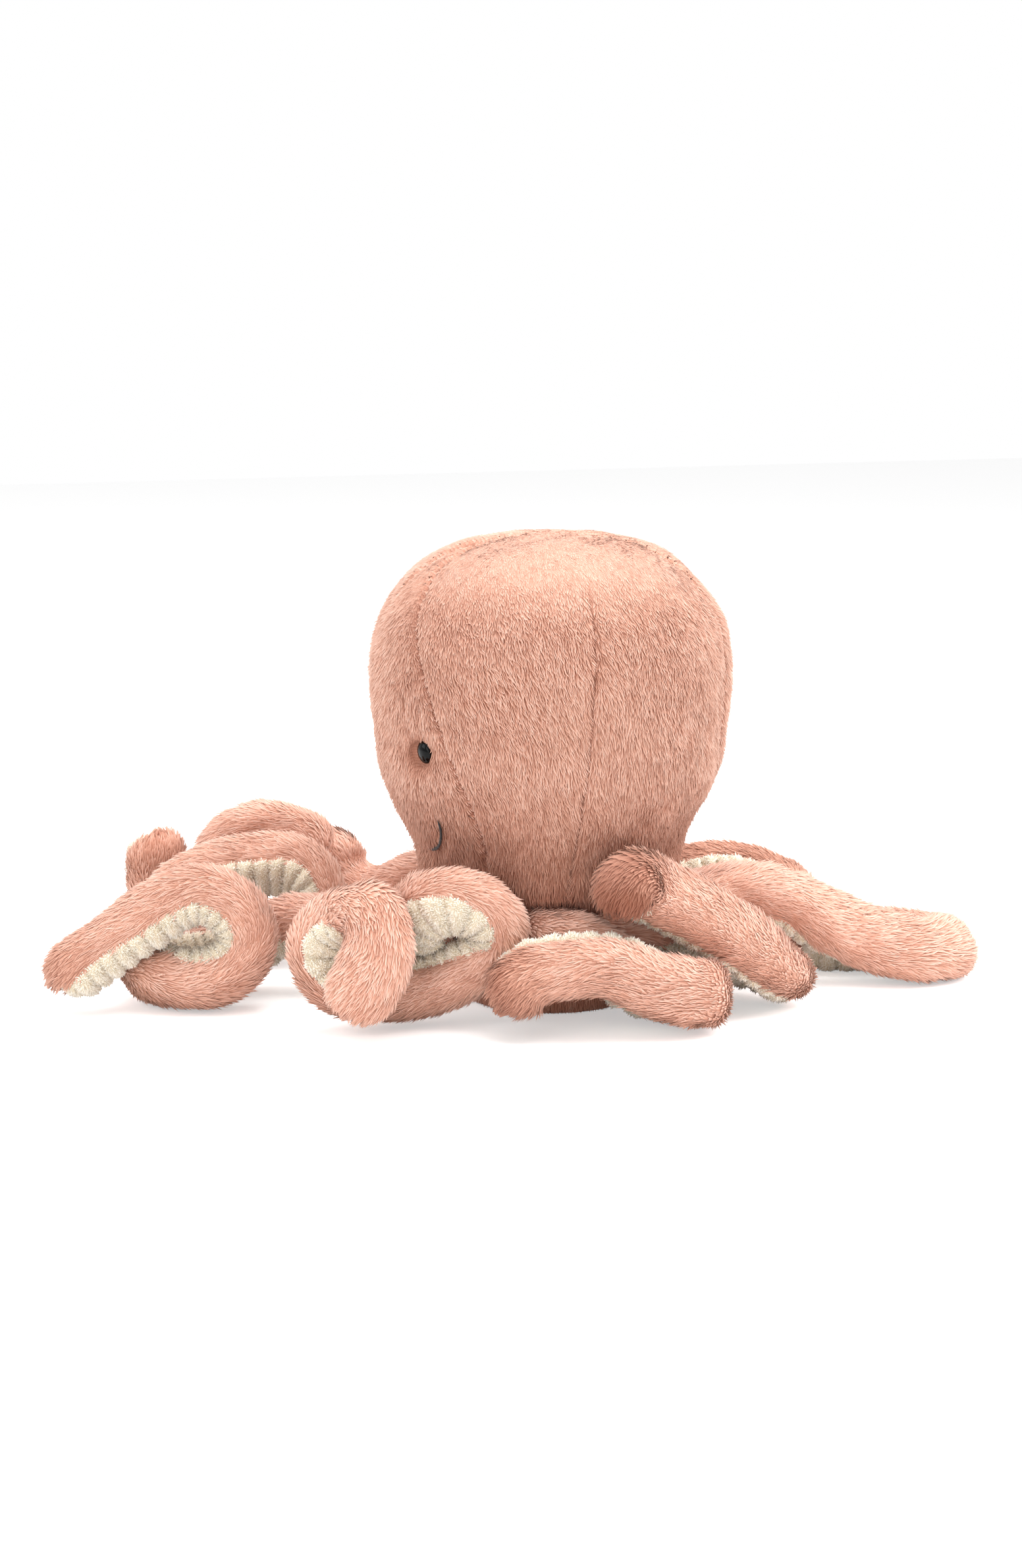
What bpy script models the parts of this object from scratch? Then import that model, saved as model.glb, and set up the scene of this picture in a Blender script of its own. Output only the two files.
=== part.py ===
# Plush octopus: a tall round head sewn from four fur panels, a bean-filled base under it, and
# eight curled arms sewn round the neck. Metres, +Z up, the face looks along -Y, and the origin
# is on the floor under the middle of the head.

import math

import bpy
import numpy as np
from mathutils import Matrix, Vector

# Driving dimensions of the head and the base
head_height = 0.2505
head_width = 0.186
neck_width = 0.088
neck_length = 0.0295
base_height = 0.031
base_disc_width = 0.080
base_bulge = 0.0015
panel_thickness = 0.003
seam_gap = 0.0006
filling_clearance = 0.0022
sewing_clearance = 0.0004
back_seam_bearing = 145.0
dart_bearing = 83.0
dart_gap = 0.0008

# Driving dimensions of the arms
arm_width = 0.037
arm_thickness = 0.027
arm_reach = 0.250
arm_root_rise = 0.017
arm_root_clearance = 0.0008
arm_cloth_thickness = 0.0024
arm_underside_width = 0.023
arm_filling_clearance = 0.0038
floor_clearance = 0.0003
longest_ring_step = 0.046
largest_ring_turn = 42.0
largest_ring_twist = 30.0
spread_bearing = 22.0

# Driving dimensions of the face
eye_width = 0.012
eye_dome_height = 0.0048
eye_rim_height = 0.0008
eye_height = 0.141
eye_bearing = 20.0
shank_width = 0.0036
washer_width = 0.013
washer_thickness = 0.0016
mouth_half_bearing = 19.5
mouth_end_height = 0.102
mouth_low_height = 0.085
thread_width = 0.0022
pocket_clearance = 0.0006

# Counts that set how fine the faceted solids are
head_rows = 13
head_facets = 24
face_columns = 6
side_columns_before_dart = 4
side_columns_after_dart = 5
back_columns = 6
eye_facets = 20
dome_steps = 5
mouth_steps = 12
thread_sides = 6
sleeve_columns = 6
filling_sides = 6
fine_outline_count = 600
fine_arm_count = 900
bend_window = 28

# Places taken from the sizes above
head_radius = head_width / 2
neck_radius = neck_width / 2
neck_top = base_height + neck_length
head_rise = head_height - neck_top
arm_root_height = base_height + arm_root_rise
arm_axis_radius = neck_radius + arm_root_clearance + arm_thickness / 2

# The head's outline from the neck to the crown: how far out, as a share of the head's radius,
# and how high, as a share of the rise from the neck to the crown
head_outline_shares = [
    (0.580, 0.009), (0.667, 0.039), (0.726, 0.094), (0.780, 0.157), (0.852, 0.236),
    (0.905, 0.294), (0.946, 0.349), (0.978, 0.420), (0.998, 0.514), (1.000, 0.577),
    (0.987, 0.672), (0.952, 0.751), (0.882, 0.819), (0.763, 0.892), (0.591, 0.9475),
    (0.323, 0.989), (0.0, 1.0),
]

# Where the face panel's seam runs: share of the rise, and degrees from the middle of the face
face_seam_rise_shares = [0.0, 0.14, 0.22, 0.30, 0.37, 0.44, 0.52, 0.62, 0.72, 0.83, 0.91, 1.0]
face_seam_bearings = [37.0, 36.6, 35.4, 32.7, 30.0, 28.4, 24.5, 20.0, 15.6, 10.7, 7.0, 4.0]

# An arm's half width and half thickness along its length, as shares of its full section
taper_length_shares = [0.0, 0.03, 0.10, 0.50, 0.85, 0.93, 0.975, 1.0]
taper_width_shares = [0.80, 0.95, 1.0, 1.0, 0.96, 0.82, 0.58, 0.30]
taper_thickness_shares = [0.30, 0.80, 1.0, 1.0, 0.98, 0.90, 0.70, 0.36]

# How much of an arm's half thickness its cloth may take up, and how far into a bend its inner side
# may reach before it crumples, as a share of the bend's radius
deepest_layer_share = 0.6
crumple_limit_share = 0.68

# The arms lie spread along a line. Each row of a route is a point of the arm's middle line after
# its root, along that line and across it as shares of the reach, then its height as a share of
# the arm's width, and which way the cream underside faces there: along, across and up.
arm_route_shares = {
    "face_left_arm": (22.5, [
        (-0.236, 0.224, 1.30, -0.2, 0.3, -0.9), (-0.268, 0.272, 1.54, -0.3, 0.85, -0.5),
        (-0.224, 0.320, 1.84, -0.1, 0.8, -0.6), (-0.152, 0.328, 1.80, -0.5, 0.6, -0.6),
        (-0.108, 0.308, 1.35, -0.9, 0.3, 0.0), (-0.160, 0.290, 0.86, -0.6, -0.2, 0.75),
        (-0.256, 0.278, 0.54, -0.2, -0.45, 0.85), (-0.350, 0.304, 0.51, 0.3, -0.25, 0.9),
        (-0.436, 0.320, 0.74, 0.5, 0.65, 0.5), (-0.464, 0.330, 1.20, 0.35, 0.95, 0.1),
        (-0.424, 0.350, 1.62, 0.3, 0.8, -0.5), (-0.376, 0.392, 1.76, 0.1, -0.5, -0.8),
        (-0.352, 0.434, 1.43, 0.0, -1.0, -0.3), (-0.372, 0.456, 0.95, 0.0, -1.0, -0.1),
        (-0.412, 0.468, 0.49, 0.0, -1.0, 0.0),
    ]),
    "left_front_arm": (67.5, [
        (0.064, 0.280, 1.24, 0.0, 0.2, -1.0), (0.176, 0.264, 0.68, -0.1, 0.6, -0.8),
        (0.284, 0.268, 0.51, -0.6, 0.8, 0.0), (0.308, 0.340, 0.57, -0.6, -0.8, -0.1),
        (0.232, 0.388, 0.70, -0.1, -1.0, 0.0), (0.128, 0.404, 0.97, 0.0, -0.85, 0.5),
        (0.036, 0.412, 1.00, 0.0, -0.75, 0.65), (-0.048, 0.412, 0.86, 0.3, -0.7, 0.6),
        (-0.100, 0.420, 0.49, 0.5, -0.8, 0.2),
    ]),
    "left_rear_arm": (112.5, [
        (0.240, 0.152, 1.32, 0.0, 0.0, -1.0), (0.352, 0.076, 0.86, 0.0, 0.2, -1.0),
        (0.444, 0.028, 0.65, 0.0, 0.5, -0.8), (0.486, 0.052, 0.57, -0.5, 0.5, -0.7),
        (0.486, 0.120, 0.65, -0.7, -0.1, -0.7), (0.440, 0.180, 0.95, -0.5, -0.5, -0.6),
        (0.368, 0.232, 1.32, -0.4, -0.6, -0.7), (0.288, 0.272, 1.68, -0.4, -0.6, -0.7),
        (0.208, 0.312, 2.00, -0.4, -0.6, -0.7), (0.164, 0.350, 2.12, 0.1, -0.5, -0.9),
        (0.132, 0.378, 1.76, 0.5, -0.6, -0.4),
    ]),
    "back_left_arm": (157.5, [
        (0.328, -0.072, 1.40, 0.0, 0.0, -1.0), (0.448, -0.120, 1.43, 0.0, -0.1, -1.0),
        (0.560, -0.136, 1.14, 0.0, -0.4, -1.0), (0.688, -0.136, 0.73, 0.0, -0.8, -0.6),
        (0.816, -0.144, 0.54, -0.2, -0.8, -0.6), (0.882, -0.212, 0.51, -0.9, -0.1, -0.4),
        (0.808, -0.280, 0.49, 0.0, 0.8, -0.5), (0.700, -0.292, 0.46, 0.0, 0.8, -0.5),
        (0.560, -0.292, 0.46, 0.0, 0.8, -0.5),
    ]),
    "back_right_arm": (202.5, [
        (0.240, -0.256, 1.03, 0.0, 0.0, -1.0), (0.336, -0.360, 0.62, 0.0, 0.0, -1.0),
        (0.448, -0.436, 0.42, 0.0, 0.0, -1.0), (0.540, -0.488, 0.51, -0.3, 0.0, -1.0),
        (0.572, -0.556, 0.78, -0.6, 0.5, -0.5), (0.516, -0.592, 0.97, 0.0, 0.8, -0.4),
        (0.424, -0.588, 1.11, 0.0, 0.85, -0.2), (0.328, -0.556, 1.11, 0.0, 0.85, -0.2),
        (0.248, -0.516, 1.03, 0.0, 0.85, -0.2),
    ]),
    "right_rear_arm": (247.5, [
        (-0.072, -0.312, 1.35, 0.0, 0.0, -1.0), (-0.192, -0.376, 1.32, 0.0, 0.0, -1.0),
        (-0.304, -0.416, 1.22, 0.0, 0.0, -1.0), (-0.392, -0.452, 1.00, 0.0, -0.2, -1.0),
        (-0.456, -0.472, 1.14, 0.5, -0.2, -0.9), (-0.508, -0.480, 1.57, 0.5, -0.1, -0.8),
        (-0.596, -0.480, 1.92, 0.1, 0.3, -1.0), (-0.680, -0.480, 1.92, -0.1, 0.2, -1.0),
        (-0.744, -0.492, 1.54, 0.7, 0.1, -0.5), (-0.760, -0.520, 0.86, 0.9, 0.0, -0.3),
        (-0.824, -0.540, 0.43, 0.0, -0.35, -0.9), (-0.884, -0.524, 0.92, -0.65, -0.75, 0.0),
        (-0.888, -0.504, 1.38, -0.55, -0.8, 0.0), (-0.886, -0.488, 1.81, -0.55, -0.8, -0.1),
    ]),
    "right_front_arm": (292.5, [
        (-0.264, -0.216, 1.03, 0.0, 0.0, -1.0), (-0.384, -0.264, 0.73, -0.1, 0.3, -0.9),
        (-0.484, -0.300, 0.86, -0.7, 0.6, -0.3), (-0.512, -0.312, 1.24, -0.75, 0.6, -0.4),
        (-0.568, -0.320, 1.54, -0.2, 0.8, -0.6), (-0.640, -0.320, 1.57, 0.0, 0.8, -0.7),
        (-0.728, -0.316, 1.49, 0.1, 0.8, -0.7), (-0.812, -0.312, 1.22, 0.7, 0.6, -0.4),
        (-0.848, -0.312, 0.84, 0.9, 0.1, 0.1), (-0.812, -0.320, 0.51, 0.6, -0.35, 0.65),
        (-0.712, -0.320, 0.51, 0.1, -0.8, 0.55), (-0.600, -0.320, 0.51, 0.0, -0.85, 0.4),
    ]),
    "face_right_arm": (337.5, [
        (-0.336, -0.008, 1.08, 0.0, 0.0, -1.0), (-0.472, -0.024, 1.11, 0.0, 0.0, -1.0),
        (-0.600, -0.040, 0.97, 0.0, 0.4, -0.9), (-0.752, -0.048, 0.54, 0.0, 1.0, 0.1),
        (-0.852, 0.016, 0.49, 1.0, 0.2, 0.3), (-0.824, 0.104, 0.46, 0.3, -0.5, 0.8),
        (-0.744, 0.132, 0.43, 0.0, -0.25, 0.95), (-0.668, 0.134, 0.62, -0.6, -0.2, 0.7),
        (-0.632, 0.132, 1.11, -1.0, 0.1, 0.0), (-0.664, 0.132, 1.54, -0.65, 0.2, -0.75),
        (-0.736, 0.136, 1.73, 0.1, 0.3, -0.9), (-0.848, 0.152, 1.38, 0.4, 0.35, -0.85),
        (-0.948, 0.168, 0.92, 0.4, 0.35, -0.8), (-1.036, 0.180, 0.49, 0.4, 0.35, -0.8),
    ]),
}

for old in list(bpy.data.objects):
    bpy.data.objects.remove(old)


def linear_colour(hex_colour):
    # sRGB hex to the linear values that a shader wants
    channels = [int(hex_colour[k:k + 2], 16) / 255 for k in (0, 2, 4)]
    return [c / 12.92 if c <= 0.04045 else ((c + 0.055) / 1.055) ** 2.4 for c in channels] + [1.0]


def material(name, hex_colour, roughness, metallic=0.0):
    made = bpy.data.materials.new(name)
    made.use_nodes = True
    shader = made.node_tree.nodes["Principled BSDF"]
    shader.inputs["Base Color"].default_value = linear_colour(hex_colour)
    shader.inputs["Roughness"].default_value = roughness
    shader.inputs["Metallic"].default_value = metallic
    return made


pink_fur = material("pink_fur", "E9B7A4", 0.9)
deep_pink_fur = material("deep_pink_fur", "DDA48E", 0.9)
cream_cloth = material("cream_ribbed_cloth", "F0E4C8", 0.95)
polyester_filling = material("polyester_filling", "F7F5F0", 1.0)
bean_cloth = material("bean_pouch_cloth", "E8DFD0", 0.95)
black_plastic = material("black_plastic", "0B0A0A", 0.08)
white_plastic = material("white_plastic", "EDEDED", 0.4)
black_thread = material("black_thread", "15110F", 0.7)


def add_solid(name, points, faces, finish, carrier=None, smooth=True):
    # One closed solid from its world points, carried by an empty on its joint's axis if it moves
    mesh = bpy.data.meshes.new(name)
    solid = bpy.data.objects.new(name, mesh)
    bpy.context.scene.collection.objects.link(solid)
    points = np.asarray(points, float)
    if carrier is not None:
        points = points - np.array(carrier.location)
        solid.parent = carrier
    mesh.from_pydata([tuple(p) for p in points], [], [tuple(f) for f in faces])
    mesh.update()
    if smooth:
        mesh.shade_smooth()
    mesh.materials.append(finish)
    return solid


def thick_sheet(outer, inner, faces):
    # Two matching sheets of points joined round every open edge, as a sewn panel with a thickness
    count = len(outer)
    edges = {}
    for face in faces:
        for start, end in zip(face, face[1:] + face[:1]):
            edges[(start, end)] = edges.get((start, end), 0) + 1
    rims = []
    for start, end in edges:
        if (end, start) not in edges:
            rims.append((end, start, start + count, end + count))
    backs = [tuple(i + count for i in reversed(face)) for face in faces]
    return np.vstack([outer, inner]), list(faces) + backs + rims


def smooth_line(points, count):
    # A cubic curve through the points, read at evenly spaced lengths. The first three columns are
    # a place, and any others follow it.
    points = np.asarray(points, float)
    last = len(points) - 1
    steps = np.linalg.norm(np.diff(points[:, :3], axis=0), axis=1)
    knots = np.concatenate([[0.0], np.cumsum(steps)])
    system = np.zeros((last + 1, last + 1))
    bends = np.zeros_like(points)
    system[0, 0] = 1.0
    system[last, last] = 1.0
    for i in range(1, last):
        system[i, i - 1:i + 2] = (steps[i - 1], 2 * (steps[i - 1] + steps[i]), steps[i])
        bends[i] = 6 * ((points[i + 1] - points[i]) / steps[i] - (points[i] - points[i - 1]) / steps[i - 1])
    curve = np.linalg.solve(system, bends)
    at = np.linspace(0.0, knots[-1], count)
    part = np.clip(np.searchsorted(knots, at) - 1, 0, last - 1)
    step = steps[part][:, None]
    after = (at - knots[part])[:, None]
    before = step - after
    cubic = (curve[part] * before ** 3 + curve[part + 1] * after ** 3) / (6 * step)
    straight = (points[part] / step - curve[part] * step / 6) * before
    return cubic + straight + (points[part + 1] / step - curve[part + 1] * step / 6) * after


def read_along(points, distances):
    # Points of a fine polyline at the given distances along it
    steps = np.linalg.norm(np.diff(points, axis=0), axis=1)
    travelled = np.concatenate([[0.0], np.cumsum(steps)])
    return np.stack([np.interp(distances, travelled, column) for column in points.T], axis=1)


def length_of(points):
    return np.linalg.norm(np.diff(points, axis=0), axis=1).sum()


# Head: its outline, and the same outline a depth further in
outline_points = [(neck_radius, neck_top)]
outline_points += [(out * head_radius, neck_top + up * head_rise) for out, up in head_outline_shares]
fine_outline = smooth_line(outline_points, fine_outline_count)
fine_outline[:, 0] = np.maximum(fine_outline[:, 0], 0.0)


def head_profile(depth):
    # Rows of the head from the bottom of the neck band to the crown, moved in by a depth
    along = length_of(fine_outline) * np.linspace(0.0, 1.0, head_rows)
    rows = read_along(fine_outline, along)
    slopes = np.gradient(rows, axis=0)
    outward = np.stack([slopes[:, 1], -slopes[:, 0]], axis=1)
    outward /= np.linalg.norm(outward, axis=1)[:, None]
    outward[-1] = (0.0, 1.0)
    outward[0] = (1.0, 0.0)
    moved = rows - outward * depth
    moved[-1, 0] = 0.0
    neck_row = np.array([[neck_radius - depth, base_height + sewing_clearance]])
    return np.vstack([neck_row, moved])


def face_seam_at(height):
    # Degrees between the middle of the face and the face panel's seam at a height
    return np.interp((height - neck_top) / head_rise, face_seam_rise_shares, face_seam_bearings)


def head_radius_at(height):
    # The outline's radius at a height on the wide part of the head
    rising = fine_outline[:, 1]
    return float(np.interp(height, rising, fine_outline[:, 0]))


def on_head(bearing, radius, height):
    # A point at a bearing in degrees from the face, turning towards +X
    turn = np.radians(bearing)
    return np.stack([radius * np.sin(turn), -radius * np.cos(turn), height + 0 * turn], axis=-1)


def gore(name, first_seam, second_seam, columns, finish, dart_column=None):
    # One fur panel of the head between two seams, narrowing to a point at the crown.
    # Each seam is a function from heights to bearings. A dart is a slit up one column.
    outer_rows = head_profile(0.0)
    inner_rows = head_profile(panel_thickness)
    body_rows = len(outer_rows) - 1
    sheets = []
    heights = outer_rows[:, 1]
    for rows in (outer_rows, inner_rows):
        sheet = []
        for i in range(body_rows):
            radius = rows[i, 0]
            inset = np.degrees(seam_gap / 2 / radius)
            low = first_seam(heights[i]) + inset
            high = second_seam(heights[i]) - inset
            bearings = np.linspace(low, high, columns + 1)
            if dart_column is not None:
                bearings = np.concatenate([
                    np.linspace(low, dart_bearing_of(low, high), dart_column + 1),
                    np.linspace(dart_bearing_of(low, high), high, columns - dart_column + 1)[1:],
                ])
            sheet.append(on_head(bearings, radius, rows[i, 1]))
        width = np.radians(abs(second_seam(head_height) - first_seam(head_height)))
        middle = (second_seam(head_height) + first_seam(head_height)) / 2
        tip_radius = seam_gap / 2 / math.sin(min(width, math.pi) / 2)
        tip = on_head(np.array([middle]), tip_radius, rows[-1, 1])
        sheets.append(np.vstack(sheet + [tip]))
    outer, inner = sheets
    stride = columns + 1
    tip_index = body_rows * stride
    faces = []
    for i in range(body_rows - 1):
        for j in range(columns):
            corner = i * stride + j
            faces.append((corner, corner + 1, corner + stride + 1, corner + stride))
    for j in range(columns):
        corner = (body_rows - 1) * stride + j
        faces.append((corner, corner + 1, tip_index))
    if dart_column is not None:
        outer, inner, faces = open_dart(outer, inner, faces, stride, dart_column, body_rows)
    points, closed = thick_sheet(outer, inner, faces)
    return add_solid(name, points, closed, finish)


def dart_bearing_of(low, high):
    # The dart's bearing on whichever side of the head the panel is
    middle = (low + high) / 2
    return math.copysign(dart_bearing, middle)


def open_dart(outer, inner, faces, stride, column, body_rows):
    # Parts the panel up one column, from the neck to the row below the crown, as a sewn dart
    count = len(outer)
    top_row = body_rows - 3
    doubles = {}
    extra_outer = []
    extra_inner = []
    for i in range(top_row):
        index = i * stride + column
        doubles[index] = count + len(extra_outer)
        across = outer[index + 1] - outer[index - 1]
        across = across / np.linalg.norm(across) * dart_gap / 2
        extra_outer.append(outer[index] + across)
        extra_inner.append(inner[index] + across)
        outer[index] = outer[index] - across
        inner[index] = inner[index] - across
    parted = []
    for face in faces:
        columns_of = [i % stride for i in face if i < body_rows * stride]
        if min(columns_of) >= column:
            face = tuple(doubles.get(i, i) for i in face)
        parted.append(face)
    return np.vstack([outer, extra_outer]), np.vstack([inner, extra_inner]), parted


gore("face_panel", lambda h: -face_seam_at(h), lambda h: face_seam_at(h), face_columns, pink_fur)
gore("back_panel", lambda h: back_seam_bearing, lambda h: 360 - back_seam_bearing, back_columns, pink_fur)
side_columns = side_columns_before_dart + side_columns_after_dart
gore("left_side_panel", lambda h: face_seam_at(h), lambda h: back_seam_bearing, side_columns,
     pink_fur, side_columns_before_dart)
gore("right_side_panel", lambda h: -back_seam_bearing, lambda h: -face_seam_at(h), side_columns,
     pink_fur, side_columns_after_dart)


def turned(name, profile, facets, finish, smooth=True):
    # A profile of (radius, height) points turned round +Z. Points on the axis become poles.
    points = []
    starts = []
    for radius, height in profile:
        starts.append(len(points))
        if radius == 0:
            points.append((0.0, 0.0, height))
        else:
            turns = np.arange(facets) * 2 * math.pi / facets
            points += [(radius * math.cos(t), radius * math.sin(t), height) for t in turns]
    faces = []
    rings = list(zip(profile, starts))
    closed = profile[0][0] != 0
    pairs = list(zip(rings, rings[1:] + rings[:1])) if closed else list(zip(rings, rings[1:]))
    for (low, low_start), (high, high_start) in pairs:
        for k in range(facets):
            after = (k + 1) % facets
            if low[0] == 0:
                faces.append((low_start, high_start + after, high_start + k))
            elif high[0] == 0:
                faces.append((low_start + k, low_start + after, high_start))
            else:
                faces.append((low_start + k, low_start + after, high_start + after, high_start + k))
    return add_solid(name, points, faces, finish, smooth=smooth)


# Filling of the head, one soft mass from the base seam to the crown
filling_depth = panel_thickness + filling_clearance
filling_rows = head_profile(filling_depth)
filling_rows[0, 1] = base_height + sewing_clearance
filling_profile = [(0.0, filling_rows[0, 1])] + [tuple(row) for row in filling_rows]
head_filling = turned("head_stuffing", filling_profile, head_facets, polyester_filling)

# Base: a fur band round the beans, and the flat disc that the toy stands on
disc_radius = base_disc_width / 2
disc_bevel = panel_thickness / 3
turned("base_disc", [
    (0.0, 0.0), (disc_radius, 0.0), (disc_radius + disc_bevel, disc_bevel),
    (disc_radius + disc_bevel, panel_thickness), (0.0, panel_thickness),
], head_facets, deep_pink_fur, smooth=False)
band_bottom = panel_thickness + sewing_clearance
band_middle = (band_bottom + base_height) / 2
turned("base_band", [
    (disc_radius - panel_thickness, band_bottom), (disc_radius + disc_bevel, band_bottom),
    (neck_radius, (band_bottom + band_middle) / 2), (neck_radius + base_bulge, band_middle),
    (neck_radius, base_height),
    (neck_radius - panel_thickness, base_height),
    (neck_radius + base_bulge - panel_thickness, band_middle),
    (neck_radius - panel_thickness, (band_bottom + band_middle) / 2),
], head_facets, deep_pink_fur)
pouch_radius = disc_radius - panel_thickness - sewing_clearance
turned("bean_pouch", [
    (0.0, band_bottom), (pouch_radius, band_bottom),
    (pouch_radius, base_height), (0.0, base_height),
], head_facets, bean_cloth)


def outward_frame(bearing, height):
    # Turns +Z to face out of the head at a bearing and a height, and puts the origin on its surface
    step = head_rise / fine_outline_count
    low = head_radius_at(height - step)
    high = head_radius_at(height + step)
    place = Vector(on_head(np.array([bearing]), head_radius_at(height), height)[0])
    level = Vector(on_head(np.array([bearing]), 1.0, 0.0)[0])
    out = (level * 2 * step + Vector((0, 0, low - high))).normalized()
    turn = out.to_track_quat("Z", "Y").to_matrix().to_4x4()
    return Matrix.Translation(place) @ turn


def put(solid, frame):
    solid.matrix_world = frame
    return solid


def cutter(name, profile, frame, target):
    # A turned shape that only cuts: a Boolean takes it out of its target
    tool = put(turned(name, profile, eye_facets, white_plastic), frame)
    tool.hide_render = True
    tool.display_type = "WIRE"
    cut = target.modifiers.new(name, "BOOLEAN")
    cut.operation = "DIFFERENCE"
    cut.object = tool
    return tool


# Eyes: a glossy dome with a shank through the face panel and a washer pressed on behind it
eye_radius = eye_width / 2
shank_radius = shank_width / 2
shank_end = panel_thickness + filling_clearance + washer_thickness + shank_radius / 2
eye_profile = [(0.0, -shank_end), (shank_radius, -shank_end), (shank_radius, sewing_clearance)]
eye_profile += [(eye_radius, sewing_clearance), (eye_radius, sewing_clearance + eye_rim_height)]
for k in range(1, dome_steps + 1):
    turn = math.pi / 2 * k / dome_steps
    rise = sewing_clearance + eye_rim_height + (eye_dome_height - eye_rim_height) * math.sin(turn)
    eye_profile.append((eye_radius * math.cos(turn) if k < dome_steps else 0.0, rise))
washer_radius = washer_width / 2
washer_front = -panel_thickness - filling_clearance
washer_back = washer_front - washer_thickness
washer_bore = shank_radius + sewing_clearance
washer_profile = [
    (washer_bore, washer_back), (washer_radius, washer_back),
    (washer_radius, washer_front), (washer_bore, washer_front),
]
pocket_radius = washer_radius + pocket_clearance
pocket_end = -shank_end - pocket_clearance
hole_profile = [
    (0.0, pocket_end), (shank_radius + sewing_clearance, pocket_end),
    (shank_radius + sewing_clearance, eye_dome_height), (0.0, eye_dome_height),
]
pocket_profile = [
    (0.0, pocket_end), (pocket_radius, pocket_end),
    (pocket_radius, eye_dome_height), (0.0, eye_dome_height),
]
face_cloth = bpy.data.objects["face_panel"]
for side, sign in (("left", 1), ("right", -1)):
    frame = outward_frame(sign * eye_bearing, eye_height)
    put(turned(side + "_eye", eye_profile, eye_facets, black_plastic), frame)
    put(turned(side + "_eye_washer", washer_profile, eye_facets, white_plastic), frame)
    cutter(side + "_eye_hole", hole_profile, frame, face_cloth)
    cutter(side + "_eye_pocket", pocket_profile, frame, head_filling)


def tube(name, points, radius, sides, finish):
    # A round thread along a line of points, with flat ends
    points = np.asarray(points, float)
    along = np.gradient(points, axis=0)
    along /= np.linalg.norm(along, axis=1)[:, None]
    out = points * (1.0, 1.0, 0.0)
    out -= (out * along).sum(axis=1)[:, None] * along
    out /= np.linalg.norm(out, axis=1)[:, None]
    side = np.cross(along, out)
    turns = np.arange(sides) * 2 * math.pi / sides
    rings = points[:, None] + radius * (
        out[:, None] * np.cos(turns)[None, :, None] + side[:, None] * np.sin(turns)[None, :, None])
    last = len(points) - 1
    faces = [tuple(reversed(range(sides))), tuple(last * sides + k for k in range(sides))]
    for i in range(last):
        for k in range(sides):
            after = (k + 1) % sides
            faces.append((i * sides + k, i * sides + after, (i + 1) * sides + after, (i + 1) * sides + k))
    return add_solid(name, rings.reshape(-1, 3), faces, finish)


# Mouth: one thick black thread in a wide smile on the face panel
mouth_bearings = np.linspace(-mouth_half_bearing, mouth_half_bearing, mouth_steps + 1)
mouth_heights = mouth_low_height + (mouth_end_height - mouth_low_height) * (
    mouth_bearings / mouth_half_bearing) ** 2
thread_radius = thread_width / 2
mouth_radii = np.array([head_radius_at(h) for h in mouth_heights]) + thread_radius + sewing_clearance
tube("mouth_stitching", on_head(mouth_bearings, mouth_radii, mouth_heights), thread_radius,
     thread_sides, black_thread)

# Arms: rings of points round a middle line, in three layers
half_width = arm_width / 2
half_thickness = arm_thickness / 2
seam_turn = math.pi - math.asin(arm_underside_width / arm_width)
sleeve_turns = np.linspace(-seam_turn, seam_turn, sleeve_columns)
pole_setback = sewing_clearance * 3


def spread_to_world(along, across):
    # Turns places read along and across the spread of the arms into X and Y
    turn = math.radians(spread_bearing)
    out = np.array([math.cos(turn), math.sin(turn)])
    return np.array([
        along * math.sin(turn) + across * out[0],
        along * out[0] - across * math.sin(turn),
    ])


def arm_line(bearing, route):
    # The arm's middle line with the way its underside faces, from the neck to the tip
    out = on_head(np.array([bearing]), 1.0, 0.0)[0]
    down = np.array([0.0, 0.0, -1.0])
    rows = []
    root_radius = neck_radius + arm_root_clearance
    for radius in (root_radius, (root_radius + arm_axis_radius) / 2, arm_axis_radius):
        place = out * radius + np.array([0.0, 0.0, arm_root_height])
        rows.append(np.concatenate([place, down * arm_width]))
    for along, across, height, face_along, face_across, face_up in route:
        level = spread_to_world(along, across) * arm_reach
        facing = spread_to_world(face_along, face_across)
        rows.append(np.concatenate([level, [height * arm_width], facing * arm_width, [face_up * arm_width]]))
    return smooth_line(rows, fine_arm_count)


def evened(rows, window):
    # Each row's mean with its neighbours in a window
    padded = np.pad(rows, ((window, window), (0, 0)), mode="edge")
    sums = np.cumsum(np.vstack([np.zeros((1, rows.shape[1])), padded]), axis=0)
    return (sums[2 * window + 1:] - sums[:-2 * window - 1]) / (2 * window + 1)


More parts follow.
